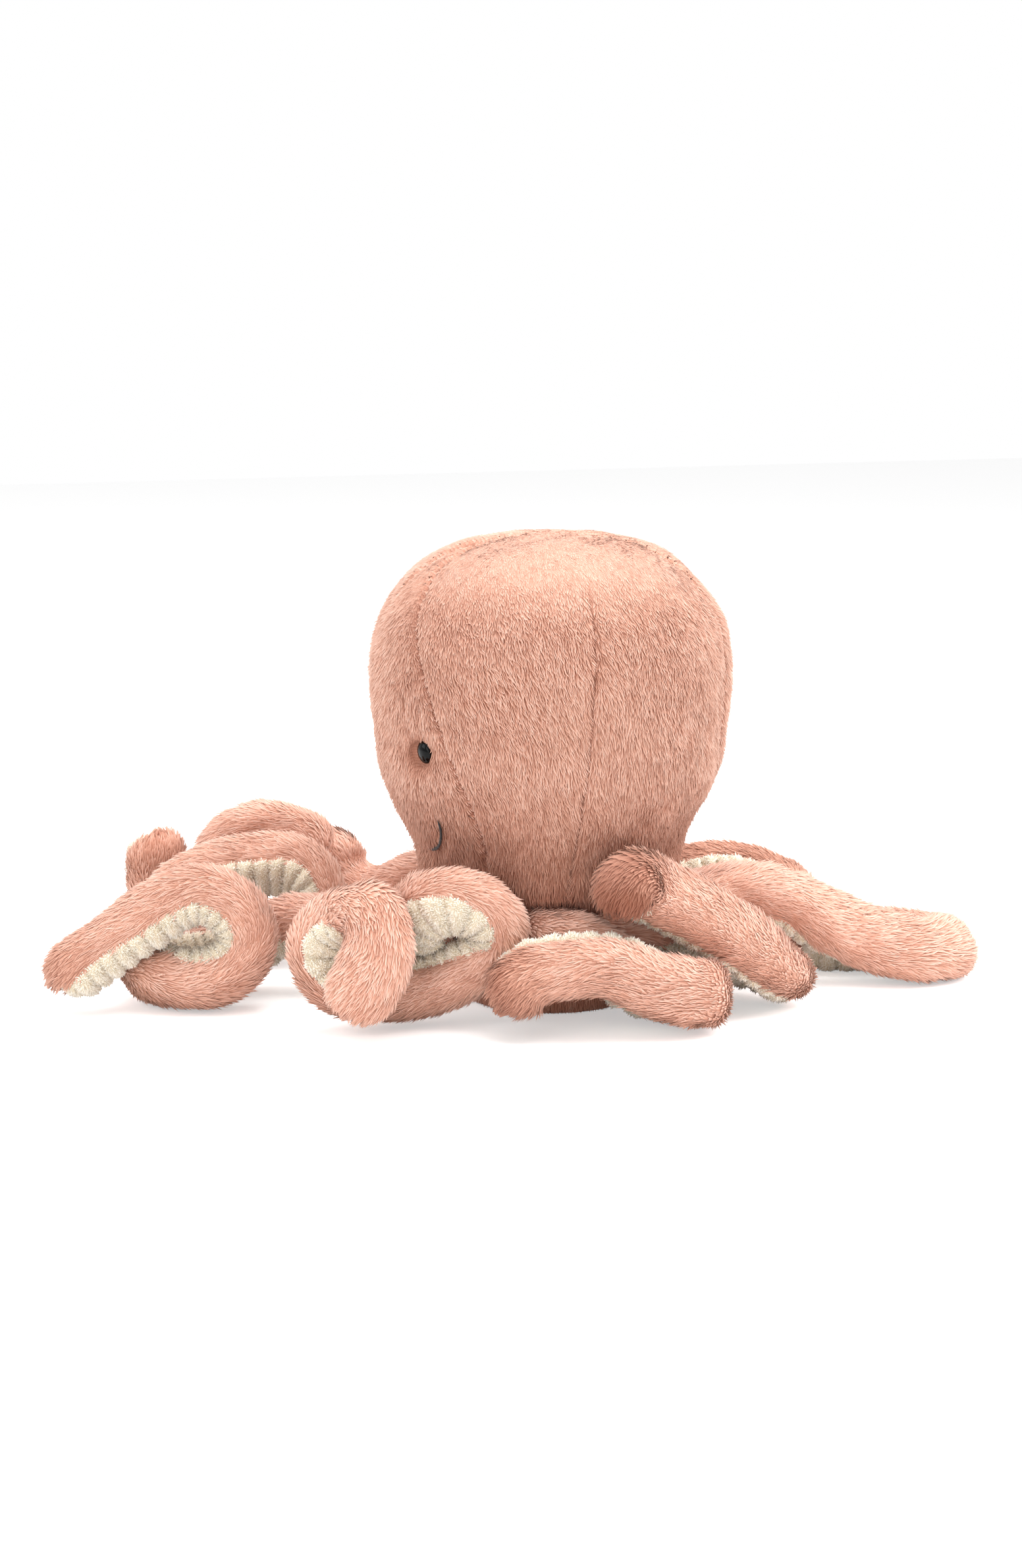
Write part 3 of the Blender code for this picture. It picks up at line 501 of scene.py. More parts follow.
def headPuff():
    # The whole head as one form of cloth, held at its four seams, its crown and its neck
    count, around = padding["headRings"]
    travelled = distances(fineOutline)
    outline = readAlong(fineOutline, travelled, np.linspace(0.01, 1, count) * travelled[-1])[::-1]
    bearing = np.arange(around)[None, :] * 360 / around
    rings = onHead(bearing, np.maximum(outline[:, :1], 1.5 * mm), outline[:, 1:] + 0 * bearing)
    aside = np.minimum(bearing, 360 - bearing)
    reach = 0.6 * 360 / around
    held = np.abs(aside - faceSeam(outline[:, 1:])) < reach
    held = held | (np.abs(aside - head["backSeam"]) < reach)
    held[:3] = True
    held[-3:] = True
    return puffed(rings, held, padding["headCap"], padding["headGrowth"])


puffOfHead = headPuff()


def headPanel(name, firstSeam, secondSeam, node, seed):
    # A panel of the head between two seams: the outline turned round +Z, drawn in at its seams,
    # the dart and the eyes, with soft dents, then covered in fur that lies down towards the neck
    travelled = distances(fineOutline)
    rows = int(travelled[-1] / head["cellAlong"])
    at = np.linspace(0, travelled[-1], rows + 1)
    outline = readAlong(fineOutline, travelled, at)[::-1]
    slopes = np.gradient(outline, axis=0)
    outward = unit(np.stack([-slopes[:, 1], slopes[:, 0]], axis=1))
    outward[0] = (0.0, 1.0)
    skin = outline - outward * head["skinDepth"]
    skin[0, 0] = 0.0
    low = firstSeam(outline[:, 1])[:, None]
    high = secondSeam(outline[:, 1])[:, None]
    widest = np.radians(high - low).max() * outline[:, 0].max()
    columns = int(widest / head["cellAcross"])
    share = np.linspace(1, 0, columns + 1)[None, :]
    bearing = low + (high - low) * share
    radius = skin[:, 0][:, None]
    height = skin[:, 1][:, None] + 0 * bearing
    arc = np.radians(bearing) * radius
    fromSeam = np.minimum(np.radians(bearing - low), np.radians(high - bearing)) * radius
    calm = np.clip(radius / head["calmRadius"], 0.1, 1.0)
    path = at[:, None] + 0.8 * mm * softNoise(at[:, None], 0 * at[:, None], 7 * mm, 5)
    notch = np.clip(0.4 + 1.8 * np.sin(2 * np.pi * path / head["tuftPitch"]), 0, 1)
    nearSeam = np.clip(calm * 1.4 - 0.4, 0, 1) * np.exp(-(fromSeam / (3.0 * mm)) ** 2)
    drop = calm * head["seamDepth"] * np.exp(-(fromSeam / head["seamWidth"]) ** 2)
    drop = drop + head["puckerDepth"] * nearSeam * notch
    dart = np.interp(height, dartHeights, dartBearings)
    toDart = np.radians(np.abs(np.abs(bearing) - dart)) * radius
    inDart = np.clip((head["dartTop"] - height) / (14 * mm), 0, 1)
    dartWidth = 0.7 * head["seamWidth"]
    drop = drop + 0.8 * head["seamDepth"] * inDart * np.exp(-(toDart / dartWidth) ** 2)
    nearDart = inDart * np.exp(-(toDart / (1.0 * mm)) ** 2)
    pucker = np.minimum(fromSeam, toDart + (1 - inDart) * 20 * mm) / (6 * mm)
    drop = drop + 0.7 * mm * calm * softNoise(height, arc, 5 * mm, seed + 4) * np.exp(-pucker ** 2)
    drop = drop - calm * readTable(puffOfHead, at[:, None] / at[-1], bearing / 360)
    for extra, dents in enumerate(("bigDents", "smallDents")):
        depth, size = head[dents]
        drop = drop + depth * calm * softNoise(height, arc, size, seed + extra)
    eyeSide = np.where(bearing > 180, 360 - bearing, np.abs(bearing)) - head["eyeBearing"]
    dimpleSide = np.radians(eyeSide + head["dimpleInward"]) * radius
    fromDimple = np.hypot(dimpleSide, height - head["eyeHeight"])
    drop = drop + head["eyeDimple"] * np.exp(-(fromDimple / head["dimpleWidth"]) ** 2)
    fromMouth = mouthDistance(arc, height)
    drop = drop + mouth["crease"] * np.exp(-(fromMouth / (4 * mm)) ** 2)
    out = outward[:, None, :] * drop[..., None]
    grid = onHead(bearing, np.maximum(radius - out[..., 0], 0.0), height - out[..., 1])
    flow = unit(np.gradient(grid, axis=0))
    flow[0] = flow[1]
    across = unit(np.cross(flow, gridNormals(grid)))
    signed = np.where(bearing > 180, bearing - 360, bearing)
    slant = calm * np.sign(signed) * np.interp(np.abs(signed), combBearings, combSlants)
    stray = 0.9 * calm * softNoise(height, arc, 3.2 * mm, seed + 6)
    stray = stray * np.exp(-(fromSeam / (2.6 * mm)) ** 2)
    flow = unit(flow + (slant + stray)[..., None] * across)
    toEye = fromDimple[:-1, :-1]
    heightCell, gap = height[:-1, :-1], notch[:-1]
    seamCell = nearSeam[:-1, :-1] * np.clip((heightCell - 78 * mm) / (14 * mm), 0, 1)
    dartCell, mouthCell = nearDart[:-1, :-1], fromMouth[:-1, :-1]
    skirt = np.clip((head["skirtTop"] - heightCell) / head["skirtFall"], 0, 1)
    length = head["fibreLength"] * (1 - seamCell * (0.58 + 0.25 * gap)) * (1 - 0.6 * dartCell)
    length = length * (1 + 0.9 * skirt) * np.clip((toEye - 5 * mm) / (6 * mm), 0.12, 1.0)
    length = length * np.where(mouthCell < 0.8 * mm, 0.3, 1.0)
    pastEye = toEye - head["eyeRadius"]
    lean = np.radians(head["lean"] - 14 * skirt) - 0.4 * np.exp(-(pastEye / (4 * mm)) ** 2)
    lean = lean - 0.3 * seamCell * (1 - gap)
    # painted shadow in the seams' notches and along the dart, and painted light on the tufts
    # between
    paintedShading = (1 - seamCell * (1.3 * gap - 0.35)) * (1 - 0.8 * dartCell)
    # painted shadow under the head's overhang, darkest towards the neck
    toNeck = np.clip((head["paintedShadeTop"] - heightCell) / head["paintedShadeFall"], 0, 1)
    paintedShading = paintedShading * (1 - head["paintedNeckShade"] * toNeck ** 0.8)
    # painted shadow round the eye, in its dimple
    paintedShading = paintedShading * (1 - head["paintedSocketShade"] * np.exp(-(pastEye / (4.5 * mm)) ** 2))
    crown = np.clip((height - head["crownStart"]) / (34 * mm), 0, 1)
    crown = crown ** 2 * (3 - 2 * crown)
    onCrown = crown[:-1, :-1]
    length = length * (1 - 0.5 * onCrown)
    lean = lean * (1 - onCrown) + np.radians(head["crownLean"]) * onCrown
    # on the crown: tips painted a little darker against the strong light from above, and the pile
    # between them painted lighter, painted light where it lies in shadow
    piece = furSkin(name, grid, flow, length, lean, head["look"], headFur, seed,
                    paintedShading * (1 - 0.1 * onCrown), 0.25 * crown)
    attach(piece, "body")
    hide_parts(node)
    return piece


def otherFaceSeam(height):
    return -faceSeam(height)


def straightSeam(bearing):
    return lambda height: bearing + 0 * height


backSeam = head["backSeam"]
headPanel("faceFur", otherFaceSeam, faceSeam, "face_panel", 1)
headPanel("leftSideFur", faceSeam, straightSeam(backSeam), "left_side_panel", 2)
headPanel("rightSideFur", straightSeam(-backSeam), otherFaceSeam, "right_side_panel", 3)
headPanel("backFur", straightSeam(backSeam), straightSeam(360 - backSeam), "back_panel", 4)
print("head covered")


# Eyes: safety eyes of black acrylic, pressed into dimples of the face

eye = {"crown": 3.3 * mm, "depth": 5.0 * mm, "faceDown": 0.12, "turnedIn": 0.7, "skirt": 1.6 * mm}


def addEye(name, bearing, node):
    # A flat ellipse turned round the way that the eye looks, with a short straight skirt behind
    seat = outlineRadius(head["eyeHeight"]) - eye["depth"]
    base = onHead(np.array([bearing]), seat, head["eyeHeight"])[0]
    out = unit(onHead(np.array([bearing * (1 - eye["turnedIn"])]), 1.0, -eye["faceDown"])[0])
    aside = unit(np.cross((0, 0, 1), out))
    upward = np.cross(out, aside)
    rise = np.linspace(2, 90, 20)
    radius = head["eyeRadius"] * np.concatenate([np.sin(np.radians(rise)), [0.98, 0.9]])
    height = np.concatenate([eye["crown"] * np.cos(np.radians(rise)), [-0.4 * mm, -eye["skirt"]]])
    turn = np.linspace(0, 2 * np.pi, 49)[:-1]
    rings = (base + height[:, None, None] * out + radius[:, None, None]
             * (np.cos(turn)[None, :, None] * aside + np.sin(turn)[None, :, None] * upward))
    piece = closedForm(name, rings, eyePlastic)
    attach(piece, "body")
    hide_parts(node)


addEye("leftEyeDome", head["eyeBearing"], "left_eye")
addEye("rightEyeDome", -head["eyeBearing"], "right_eye")


# Smile: thick black thread in long overlapping stitches, half sunk in the fur

def addMouth():
    # A flat oval carried along the smile, swelling and thinning once a stitch, pointed at its ends
    radius = outlineRadius(mouthHeights) - mouth["depth"]
    radius = radius - 1.5 * mm * np.exp(-(mouthBearings / 9) ** 2)
    line = onHead(mouthBearings, radius, mouthHeights)
    travelled = distances(line)
    along = unit(np.gradient(line, axis=0))
    out = unit(onHead(mouthBearings, 1.0, 0.0))
    aside = unit(np.cross(out, along))
    ends = np.sqrt(np.clip(np.minimum(travelled, travelled[-1] - travelled) / (5 * mm), 0.01, 1))
    stitch = ends * (0.84 + 0.16 * np.abs(np.sin(np.pi * travelled / mouth["stitchLength"])))
    turn = np.linspace(0, 2 * np.pi, 15)[:-1]
    strand = 1 + 0.1 * np.sin(5 * turn[None, :] + travelled[:, None] / (0.5 * mm))
    wide = (mouth["threadWidth"] / 2 * stitch)[:, None] * np.cos(turn) * strand
    thick = (mouth["threadThickness"] / 2 * stitch)[:, None] * np.sin(turn) * strand
    rings = line[:, None] + wide[..., None] * aside[:, None] + thick[..., None] * out[:, None]
    piece = closedForm("smileThread", rings, blackThread)
    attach(piece, "body")
    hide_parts("mouth_stitching")


addMouth()


# Base: a band of fur under the arms, a flat disc of it below, and the pouch of beans inside

base = {"bandRadius": 44 * mm, "discRadius": 41 * mm, "bandTop": 35 * mm, "corner": 7 * mm,
        "fibreLength": 3.4 * mm, "discFibre": 1.5 * mm, "discSkin": 0.8 * mm, "cell": 1.3 * mm,
        "lean": 66, "pouchRadius": 35.5 * mm, "pouchHeights": (4.5 * mm, 30 * mm),
        "beanSize": 5 * mm}


def turnedFur(name, profile, length, node, seed):
    # A profile of radius and height turned once round +Z and covered in short fur
    travelled = distances(profile)
    at = np.linspace(0, travelled[-1], int(travelled[-1] / base["cell"]) + 1)
    outline = readAlong(profile, travelled, at)
    columns = int(2 * np.pi * profile[:, 0].max() / base["cell"])
    bearing = np.linspace(360, 0, columns + 1)[None, :]
    grid = onHead(bearing, outline[:, :1], outline[:, 1:] + 0 * bearing)
    flow = unit(np.gradient(grid, axis=0))
    lengths = np.full((len(at) - 1, columns), length)
    lean = np.radians(base["lean"]) + 0 * lengths
    piece = furSkin(name, grid, flow, lengths, lean, head["look"], baseFur, seed)
    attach(piece, "body")
    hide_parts(node)


bandOut, discOut, discSkin = base["bandRadius"], base["discRadius"], base["discSkin"]
bandProfile = np.array([(bandOut - 4 * mm, base["bandTop"]), (bandOut - 0.5 * mm, 28 * mm),
                        (bandOut, 16 * mm), (bandOut - 0.6 * mm, base["corner"]),
                        (bandOut - 1.6 * mm, 3.4 * mm), (discOut - 0.4 * mm, 1.2 * mm)])
turnedFur("baseBandFur", bandProfile, base["fibreLength"], "base_band", 61)
discProfile = np.array([(discOut, discSkin), (discOut / 2, discSkin), (0.3 * mm, discSkin)])
turnedFur("baseDiscFur", discProfile, base["discFibre"], "base_disc", 62)


def addPouch():
    # A round flat bag of cloth, pushed out in small bumps by the beans in it
    low, high = base["pouchHeights"]
    rise = np.linspace(-88, 88, 25)
    turn = np.linspace(0, 360, 73)[:-1][None, :]
    shape = np.abs(np.cos(np.radians(rise))) ** 0.4
    radius = base["pouchRadius"] * shape[:, None] + 0 * turn
    level = np.sign(rise) * np.abs(np.sin(np.radians(rise))) ** 0.7
    height = (low + high) / 2 + (high - low) / 2 * level[:, None] + 0 * turn
    arc = np.radians(turn) * base["pouchRadius"]
    bump = 0.7 * mm * softNoise(height * 1.4, arc, base["beanSize"], 63)
    rings = onHead(turn, radius + bump * shape[:, None] - 0.8 * mm, height)
    piece = closedForm("beanPouch", rings, beanCloth)
    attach(piece, "body")
    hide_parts("bean_pouch")


addPouch()


# Filling of the head: loose fibre packed to the head's own shape

def addHeadFilling():
    # The head's outline drawn in all round, with lumps
    outline = fineOutline[::14]
    turn = np.linspace(0, 360, 73)[:-1][None, :]
    radius = np.maximum(outline[:, :1] - 9.5 * mm, 0.6 * mm)
    neck = head["neckHeight"]
    height = neck + (outline[:, 1:] - neck) * 0.955
    lump = 0.9 * mm * softNoise(height + 0 * turn, np.radians(turn) * radius, 16 * mm, 64)
    rings = onHead(turn, radius + lump * (radius > 9 * mm), height + 0 * turn)
    piece = closedForm("headFilling", rings, fibreFill)
    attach(piece, "body")
    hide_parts("head_stuffing")


addHeadFilling()
for washer in ("left_eye_washer", "right_eye_washer"):
    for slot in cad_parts[washer].material_slots:
        slot.material = nylonWasher
print("eyes, smile and base made")


# Arms

arms = {
    "width": 37 * mm,  # the CAD solids' size, which the routes' shares follow
    "thickness": 27 * mm,
    "reach": 250 * mm,
    "spread": 22,  # degrees from Y to the line that the arms lie spread along
    "neckRadius": 44 * mm,
    "rootGap": 0.8 * mm,
    "rootHeight": 48 * mm,
    "rootSink": 9 * mm,  # how far the fur starts inside the neck's fur
    "skinHalfWidth": 16.6 * mm,
    "skinHalfThickness": 12.6 * mm,
    "squareness": 2.3,  # 2 is an ellipse, more is squarer
    "seamTurn": 136,  # degrees from the middle of the back to the underside's seams
    "fibreLength": 5.8 * mm,
    "lean": 72,
    "cellAcross": 0.95 * mm,
    "cellAlong": 1.5 * mm,
    "tightest": 0.8,  # most of a bend's radius that the arm's inner side takes up
    "ribPitch": 9.0 * mm,
    "ribDepth": 3.8 * mm,
    "napLength": 1.8 * mm,
    "fillingDepth": 6 * mm,
    "napLean": 28,
    "ribCell": 0.8 * mm,
    "fillingCell": 4 * mm,
    "bigDents": (0.9 * mm, 22 * mm),  # depth and size
    "smallDents": (0.5 * mm, 9 * mm),
    "seamTuck": 2 * mm,  # how far the fur's cloth goes in under the ribs
    "floorRoom": 1.6 * mm,  # from the floor up to the fur's cloth
    "lightness": 0.98,
    "paintedUnderShade": 0.38,  # how much painted shadow darkens the fur that faces the floor
    "blendReach": 26 * mm,
    "look": {"tuft": 5.5 * mm, "swirl": 0.22, "yaw": 0.22, "scatter": 0.16, "leanWander": 6,
             "leanScatter": 5, "uneven": 0.2, "ragged": 0.12, "shadeUp": 0.75, "shadeSide": 0.12,
             "faceted": 0.4},
    "terry": {"tuft": 2.2 * mm, "swirl": 3.0, "yaw": 2.0, "scatter": 1.5, "leanWander": 10,
              "leanScatter": 12, "uneven": 0.3, "ragged": 0.25, "shadeUp": 0.9, "shadeSide": 0.1,
              "faceted": 0.3},
}
# share along the arm, then its width and its thickness near the root
rootShares = np.array([(0.0, 0.86, 0.80), (0.05, 0.97, 0.93), (0.12, 1.0, 1.0)])

# Each arm's bearing from the face, then the points of its middle line after the root: along and
# across the spread in thousandths of the reach, height in hundredths of the width, and which way
# the underside faces there, along, across and up, in hundredths
armRoutes = {
    "face_left_arm": (22.5, [
        (-236, 224, 130, -20, 30, -90), (-268, 272, 154, -30, 85, -50),
        (-224, 320, 184, -10, 80, -60),
        (-152, 328, 180, -50, 60, -60), (-108, 308, 135, -90, 30, 0), (-160, 290, 86, -60, -20, 75),
        (-256, 278, 54, -20, -45, 85), (-350, 304, 51, 30, -25, 90), (-436, 320, 74, 50, 65, 50),
        (-464, 330, 120, 35, 95, 10), (-424, 350, 162, 30, 80, -50), (-376, 392, 176, 10, -50, -80),
        (-352, 434, 143, 0, -100, -30), (-372, 456, 95, 0, -100, -10), (-412, 468, 49, 0, -100, 0),
    ]),
    "left_front_arm": (67.5, [
        (64, 280, 124, 0, 20, -100), (176, 264, 68, -10, 60, -80), (284, 268, 51, -60, 80, 0),
        (308, 340, 57, -60, -80, -10), (232, 388, 70, -10, -100, 0), (128, 404, 97, 0, -85, 50),
        (36, 412, 100, 0, -75, 65), (-48, 412, 86, 30, -70, 60), (-100, 420, 49, 50, -80, 20),
    ]),
    "left_rear_arm": (112.5, [
        (240, 152, 132, 0, 0, -100), (352, 76, 86, 0, 20, -100), (444, 28, 65, 0, 50, -80),
        (486, 52, 57, -50, 50, -70), (486, 120, 65, -70, -10, -70), (440, 180, 95, -50, -50, -60),
        (368, 232, 132, -40, -60, -70), (288, 272, 168, -40, -60, -70),
        (208, 312, 200, -40, -60, -70),
        (164, 350, 212, 10, -50, -90), (132, 378, 176, 50, -60, -40),
    ]),
    "back_left_arm": (157.5, [
        (328, -72, 140, 0, 0, -100), (448, -120, 143, 0, -10, -100), (560, -136, 114, 0, -40, -100),
        (688, -136, 73, 0, -80, -60), (816, -144, 54, -20, -80, -60),
        (882, -212, 51, -90, -10, -40),
        (808, -280, 49, 0, 80, -50), (700, -292, 46, 0, 80, -50), (560, -292, 46, 0, 80, -50),
    ]),
    "back_right_arm": (202.5, [
        (240, -256, 103, 0, 0, -100), (336, -360, 62, 0, 0, -100), (448, -436, 42, 0, 0, -100),
        (540, -488, 51, -30, 0, -100), (572, -556, 78, -60, 50, -50), (516, -592, 97, 0, 80, -40),
        (424, -588, 111, 0, 85, -20), (328, -556, 111, 0, 85, -20), (248, -516, 103, 0, 85, -20),
    ]),
    "right_rear_arm": (247.5, [
        (-72, -312, 135, 0, 0, -100), (-192, -376, 132, 0, 0, -100), (-304, -416, 122, 0, 0, -100),
        (-392, -452, 100, 0, -20, -100), (-456, -472, 114, 50, -20, -90),
        (-508, -480, 157, 50, -10, -80),
        (-596, -480, 192, 10, 30, -100), (-680, -480, 192, -10, 20, -100),
        (-744, -492, 154, 70, 10, -50),
        (-760, -520, 86, 90, 0, -30), (-824, -540, 43, 0, -35, -90), (-884, -524, 92, -65, -75, 0),
        (-888, -504, 138, -55, -80, 0), (-886, -488, 181, -55, -80, -10),
    ]),
    "right_front_arm": (292.5, [
        (-264, -216, 103, 0, 0, -100), (-384, -264, 73, -10, 30, -90),
        (-484, -300, 86, -70, 60, -30),
        (-512, -312, 124, -75, 60, -40), (-568, -320, 154, -20, 80, -60),
        (-640, -320, 157, 0, 80, -70),
        (-728, -316, 149, 10, 80, -70), (-812, -312, 122, 70, 60, -40),
        (-848, -312, 84, 90, 10, 10),
        (-812, -320, 51, 60, -35, 65), (-712, -320, 51, 10, -80, 55), (-600, -320, 51, 0, -85, 40),
    ]),
    "face_right_arm": (337.5, [
        (-336, -8, 108, 0, 0, -100), (-472, -24, 111, 0, 0, -100), (-600, -40, 97, 0, 40, -90),
        (-752, -48, 54, 0, 100, 10), (-852, 16, 49, 100, 20, 30), (-824, 104, 46, 30, -50, 80),
        (-744, 132, 43, 0, -25, 95), (-668, 134, 62, -60, -20, 70), (-632, 132, 111, -100, 10, 0),
        (-664, 132, 154, -65, 20, -75), (-736, 136, 173, 10, 30, -90),
        (-848, 152, 138, 40, 35, -85),
        (-948, 168, 92, 40, 35, -80), (-1036, 180, 49, 40, 35, -80),
    ]),
}


def spreadToWorld(along, across):
    turn = math.radians(arms["spread"])
    return (along * math.sin(turn) + across * math.cos(turn),
            along * math.cos(turn) - across * math.sin(turn))


def armLine(bearing, route):
    # The arm's middle line, with the way its underside faces in the last three columns
    out = onHead(np.array([bearing]), 1.0, 0.0)[0]
    rows = []
    first = arms["neckRadius"] + arms["rootGap"]
    last = first + arms["thickness"] / 2
    for radius in (first - arms["rootSink"], first, (first + last) / 2, last):
        rows.append([out[0] * radius, out[1] * radius, arms["rootHeight"], 0, 0, -arms["width"]])
    for along, across, height, faceAlong, faceAcross, faceUp in route:
        x, y = spreadToWorld(along / 1000, across / 1000)
        fx, fy = spreadToWorld(faceAlong / 100, faceAcross / 100)
        rows.append([x * arms["reach"], y * arms["reach"], height / 100 * arms["width"],
                     fx * arms["width"], fy * arms["width"], faceUp / 100 * arms["width"]])
    return smoothLine(rows, 1200)


def evened(rows, window):
    padded = np.pad(rows, ((window, window), (0, 0)), mode="edge")
    sums = np.cumsum(np.vstack([np.zeros((1, rows.shape[1])), padded]), axis=0)
    return (sums[2 * window + 1:] - sums[:-2 * window - 1]) / (2 * window + 1)


def armFrame(bearing, route, count):
    # Rows along the arm: place, direction, the underside's direction, across, bend and share, and
    # the arm's whole length
    fine = armLine(bearing, route)
    travelled = distances(fine)
    along = unit(np.gradient(fine[:, :3], travelled, axis=0))
    bend = evened(np.gradient(along, travelled, axis=0), 34)
    at = np.linspace(0, travelled[-1], count)
    place = readAlong(fine[:, :3], travelled, at)
    along = unit(readAlong(along, travelled, at))
    bend = readAlong(bend, travelled, at)
    facing = evened(readAlong(fine[:, 3:], travelled, at), 3)
    facing = unit(facing - (facing * along).sum(1, keepdims=True) * along)
    return place, along, facing, np.cross(along, facing), bend, at / travelled[-1], travelled[-1]


def armSection(rows, turns, extra=0.0):
    # Points round the arm at turns from the middle of its back: a squared ellipse that tapers to
    # a round tip, crumpled where it would reach past a bend's middle
    place, along, facing, across, bend, share, total = rows
    tipStart = 1 - 0.95 * arms["skinHalfWidth"] / total
    wide = np.interp(share, rootShares[:, 0], rootShares[:, 1])
    thick = np.interp(share, rootShares[:, 0], rootShares[:, 2])
    toTip = np.clip((share - tipStart) / (1 - tipStart), 0, 1)
    dome = np.sqrt(np.maximum(1 - toTip ** 2, 0))
    wide = wide * dome
    thick = thick * dome
    power = arms["squareness"]
    size = (np.abs(np.sin(turns)) ** power + np.abs(np.cos(turns)) ** power) ** (-1 / power)
    halfWide = arms["skinHalfWidth"] * wide[:, None] + extra * dome[:, None]
    halfThick = arms["skinHalfThickness"] * thick[:, None] + extra * dome[:, None]
    out = (across[:, None] * (halfWide * np.sin(turns) * size)[..., None]
           - facing[:, None] * (halfThick * np.cos(turns) * size)[..., None])
    into = (out * bend[:, None]).sum(-1)
    inward = into / arms["tightest"]
    eased = np.where(inward > 0.6, 0.6 + 0.4 * np.tanh((inward - 0.6) / 0.4), inward)
    squeeze = np.where(inward > 0.6, eased / np.maximum(inward, 1e-6), 1.0)
    return place[:, None] + out * squeeze[..., None]


# How dark the fur is painted over the last of each arm, painted shadow in the whorls of the blunt
# tips, and how light it is on the rest, the far arm behind the head painted darker as shadow
paintedTipShades = {"face_left_arm": 0.0, "left_front_arm": 0.7, "left_rear_arm": 0.92,
             "back_left_arm": 0.85, "back_right_arm": 0.6, "right_rear_arm": 0.2,
             "right_front_arm": 0.3, "face_right_arm": 0.3}
paintedArmShades = {"back_right_arm": 0.68}


def armPuff(bearing, route):
    # One arm as a form of cloth, held at its two seams and where it is sewn to the neck
    count, around = padding["armRings"]
    turns = np.arange(around)[None, :] * 2 * np.pi / around
    rings = armSection(armFrame(bearing, route, count), turns)[:-1]
    reach = 0.6 * 2 * np.pi / around
    held = np.abs(np.minimum(turns, 2 * np.pi - turns) - math.radians(arms["seamTurn"])) < reach
    held = held | (np.arange(count - 1)[:, None] < 3)
    return puffed(rings, held, padding["armCap"], padding["armGrowth"])


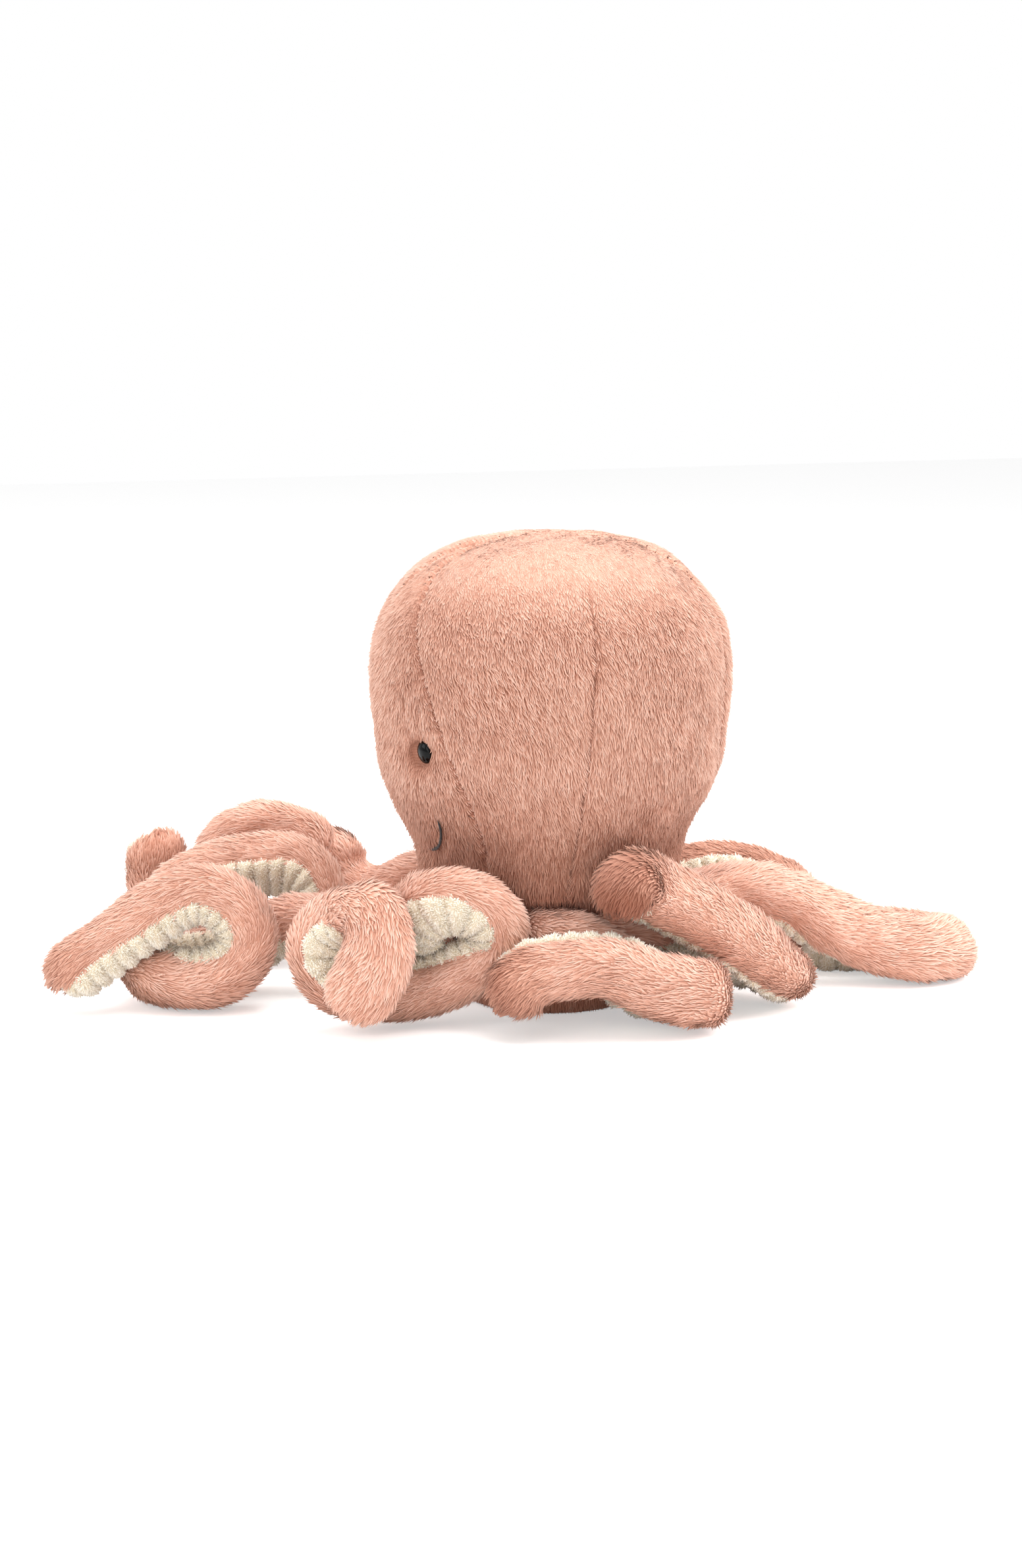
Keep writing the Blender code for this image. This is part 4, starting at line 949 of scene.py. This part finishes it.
def addArm(name, bearing, route, seed):
    # the fur: the skin round the back and sides, whose cloth closes under the ribs without fibres
    puff = armPuff(bearing, route)
    total = armFrame(bearing, route, 50)[-1]
    rows = armFrame(bearing, route, int(total / arms["cellAlong"]))
    seam = math.radians(arms["seamTurn"])
    furWidth = 2 * seam * (arms["skinHalfWidth"] + arms["skinHalfThickness"]) / 2
    furColumns = int(furWidth / arms["cellAcross"])
    turns = np.concatenate([np.linspace(seam, -seam, furColumns),
                            np.linspace(-seam, seam - 2 * np.pi, 7)[1:]])
    grid = armSection(rows, turns[None, :])
    share = rows[5][:, None]
    travelled = share * total
    fromTip = (1 - share) * total
    arc = turns[None, :] * arms["skinHalfWidth"]
    normals = gridNormals(grid)
    dent = readTable(puff, share, turns[None, :] / (2 * np.pi))
    for extra, dents in enumerate(("bigDents", "smallDents")):
        depth, size = arms[dents]
        dent = dent + depth * softNoise(travelled, arc, size, seed + extra)
    onFur = (np.abs(turns) <= seam + 1e-6)[None, :]
    fromSeam = (seam - np.abs(turns)[None, :]) * arms["skinHalfWidth"]
    grid = grid + normals * np.where(onFur, dent, -arms["seamTuck"])[..., None]
    grid[..., 2] = np.maximum(grid[..., 2], arms["floorRoom"])
    flow = np.broadcast_to(rows[1][:, None], grid.shape).copy()
    over = np.where(turns > 0, -1.0, 1.0) * np.exp(-(np.maximum(fromSeam, 0) / (3 * mm)) ** 2)
    flow = flow + 0.7 * over[..., None] * unit(np.gradient(grid, axis=1))
    cellFur = (onFur & np.roll(onFur, -1, axis=1))[:, :-1]
    toTip = np.clip(1 - fromTip / (16 * mm), 0, 1)[:-1]
    length = arms["fibreLength"] * np.where(cellFur, 1.0, 0.0) + 0 * travelled[:-1]
    lean = np.radians(arms["lean"]) * (1 - 0.3 * toTip) + 0 * length
    # painted shadow over each arm's tip and on the far arm behind the head; the pile between
    # follows
    nearTip = np.clip((34 * mm - fromTip) / (24 * mm), 0, 1)
    level = paintedArmShades.get(name, arms["lightness"]) * (1 - paintedTipShades[name] * nearTip)
    # painted shadow on the fur that faces the floor
    under = np.clip(-normals[:-1, :-1, 2], 0, 1)
    paintedShading = level[:-1] * (1 - arms["paintedUnderShade"] * under)
    fur = furSkin(name + "_fur", grid, flow, length, lean, arms["look"], armFur, seed, paintedShading,
                  0.22 * level ** 2)

    # the underside: rolls across the arm, with narrow grooves between them and terry loops on them
    rows = armFrame(bearing, route, int(total / arms["ribCell"]))
    lap = 0.12
    stripTurns = np.linspace(2 * np.pi - seam + lap, seam - lap, 42)
    grid = armSection(rows, stripTurns[None, :])
    travelled = rows[5][:, None] * total
    fromMiddle = np.abs(stripTurns - np.pi)[None, :] / (np.pi - seam + lap)
    phase = travelled / arms["ribPitch"] + 0.12 * softNoise(travelled, 0 * travelled, 14 * mm, seed)
    roll = np.abs(np.sin(np.pi * phase)) ** 0.6
    edge = np.sqrt(np.maximum(1 - fromMiddle ** 4, 0))
    fromTip = (1 - rows[5][:, None]) * total
    ends = np.clip(fromTip / (10 * mm), 0, 1) * np.clip(travelled / (10 * mm), 0, 1)
    lift = (arms["ribDepth"] * roll * edge + 0.6 * mm) * ends
    lift = lift - 2.2 * mm * (1 - edge) - 1.2 * mm * (1 - ends)
    lift = lift + 0.5 * mm * softNoise(travelled, fromMiddle * 12 * mm, 5 * mm, seed + 8)
    normals = gridNormals(grid)
    grid = grid + normals * lift[..., None]
    grid[..., 2] = np.maximum(grid[..., 2], 0.9 * mm)
    length = arms["napLength"] + 0 * (travelled + stripTurns[None, :])[:-1, :-1]
    flow = np.broadcast_to(rows[1][:, None], grid.shape)
    # painted shadow in the grooves between the rolls
    paintedGrooveShading = (0.35 + 0.65 * np.clip(roll / 0.75, 0, 1))[:-1] + 0 * length
    lean = np.radians(arms["napLean"]) + 0 * length
    ribs = furSkin(name + "_ribs", grid, flow, length, lean, arms["terry"], creamTerry, seed + 50,
                   paintedGrooveShading)

    # the filling: the same sections drawn in, from just outside the neck to the tip
    rows = armFrame(bearing, route, int(total / arms["fillingCell"]))
    turns = np.linspace(0, 2 * np.pi, 25)[:-1][None, :]
    rings = armSection(rows, turns, -arms["fillingDepth"])
    lump = 0.6 * mm * softNoise(rings[..., 0] + rings[..., 2], rings[..., 1], 9 * mm, seed + 9)
    rings = rings[3:-1]
    rings[..., 2] += lump[3:-1]
    filling = closedForm(name + "_filling", rings, fibreFill)

    # each is sewn to the neck; its part of the model is hidden and its place is baked into its
    # points
    for piece, part, slotName in ((fur, "_sleeve", "pink_fur"),
                                  (ribs, "_underside", "cream_ribbed_cloth"),
                                  (filling, "_stuffing", "polyester_filling")):
        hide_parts(name + part)
        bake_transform(piece)


for number, (armName, (bearing, route)) in enumerate(armRoutes.items()):
    addArm(armName, bearing, route, 20 + number)
print("arms covered")


# Camera, floor and light

def aimAt(thing, target):
    thing.rotation_euler = (Vector(target) - thing.location).to_track_quat("-Z", "Y").to_euler()


camera = bpy.data.objects.new("camera", bpy.data.cameras.new("camera"))
scene.collection.objects.link(camera)
camera.data.lens = 77.9
camera.data.sensor_width = 36
camera.data.clip_end = 20
camera.location = (1.6407, -0.6851, 0.3974)
aimAt(camera, (-0.00772, -0.01910, 0.1158))
scene.camera = camera

floorMesh = bpy.data.meshes.new("floor")
floorMesh.from_pydata([(-4, -4, 0), (4, -4, 0), (4, 4, 0), (-4, 4, 0)], [], [(0, 1, 2, 3)])
floor = bpy.data.objects.new("floor", floorMesh)
scene.collection.objects.link(floor)

def seenValue(tree, unseen, seen, socket):
    # One value for what the camera, a reflection or a clear material shows, and another for what
    # lights the object
    rays = addNode(tree, "ShaderNodeLightPath").outputs
    direct = addNode(tree, "ShaderNodeMath", {0: rays["Is Camera Ray"], 1: rays["Is Glossy Ray"]},
                     operation="MAXIMUM")
    either = addNode(tree, "ShaderNodeMath",
                     {0: direct.outputs[0], 1: rays["Is Transmission Ray"]}, operation="MAXIMUM")
    value = addNode(tree, "ShaderNodeMapRange",
                    {"Value": either.outputs[0], "To Min": unseen, "To Max": seen})
    tree.links.new(value.outputs["Result"], socket)


# Matt white paper, which shows almost no edge and a soft shadow
floorMaterial, floorTree, floorShader = newMaterial("paperSweep")
setInputs(floorShader, {"Base Color": srgb("FAFAFA"), "Roughness": 0.9,
                        "Emission Color": (1, 1, 1, 1)})
seenValue(floorTree, 0.0, 0.45, floorShader.inputs["Emission Strength"])
floorMesh.materials.append(floorMaterial)

world = bpy.data.worlds.new("studio")
scene.world = world
world.use_nodes = True
background = world.node_tree.nodes["Background"]
background.inputs["Color"].default_value = (1, 1, 1, 1)
seenValue(world.node_tree, 0.46, 1.0, background.inputs["Strength"])

# each lamp's place, size in metres and power
lamps = {
    "overhead": ((0.2, 0.1, 1.6), 1.6, 33),
    "keySide": ((1.3, -1.4, 1.2), 1.0, 8),
    "leftSide": ((-0.3, -1.6, 1.0), 1.0, 8),
    "rightSide": ((0.5, 1.5, 1.1), 1.0, 21),
    "front": ((1.5, -0.8, 0.5), 0.8, 4),
}
for lampName, (place, size, power) in lamps.items():
    lamp = bpy.data.objects.new(lampName, bpy.data.lights.new(lampName, "AREA"))
    lamp.data.size = size
    lamp.data.energy = power
    lamp.location = place
    aimAt(lamp, (0, 0, 0.1))
    scene.collection.objects.link(lamp)

scene.view_settings.view_transform = "Standard"
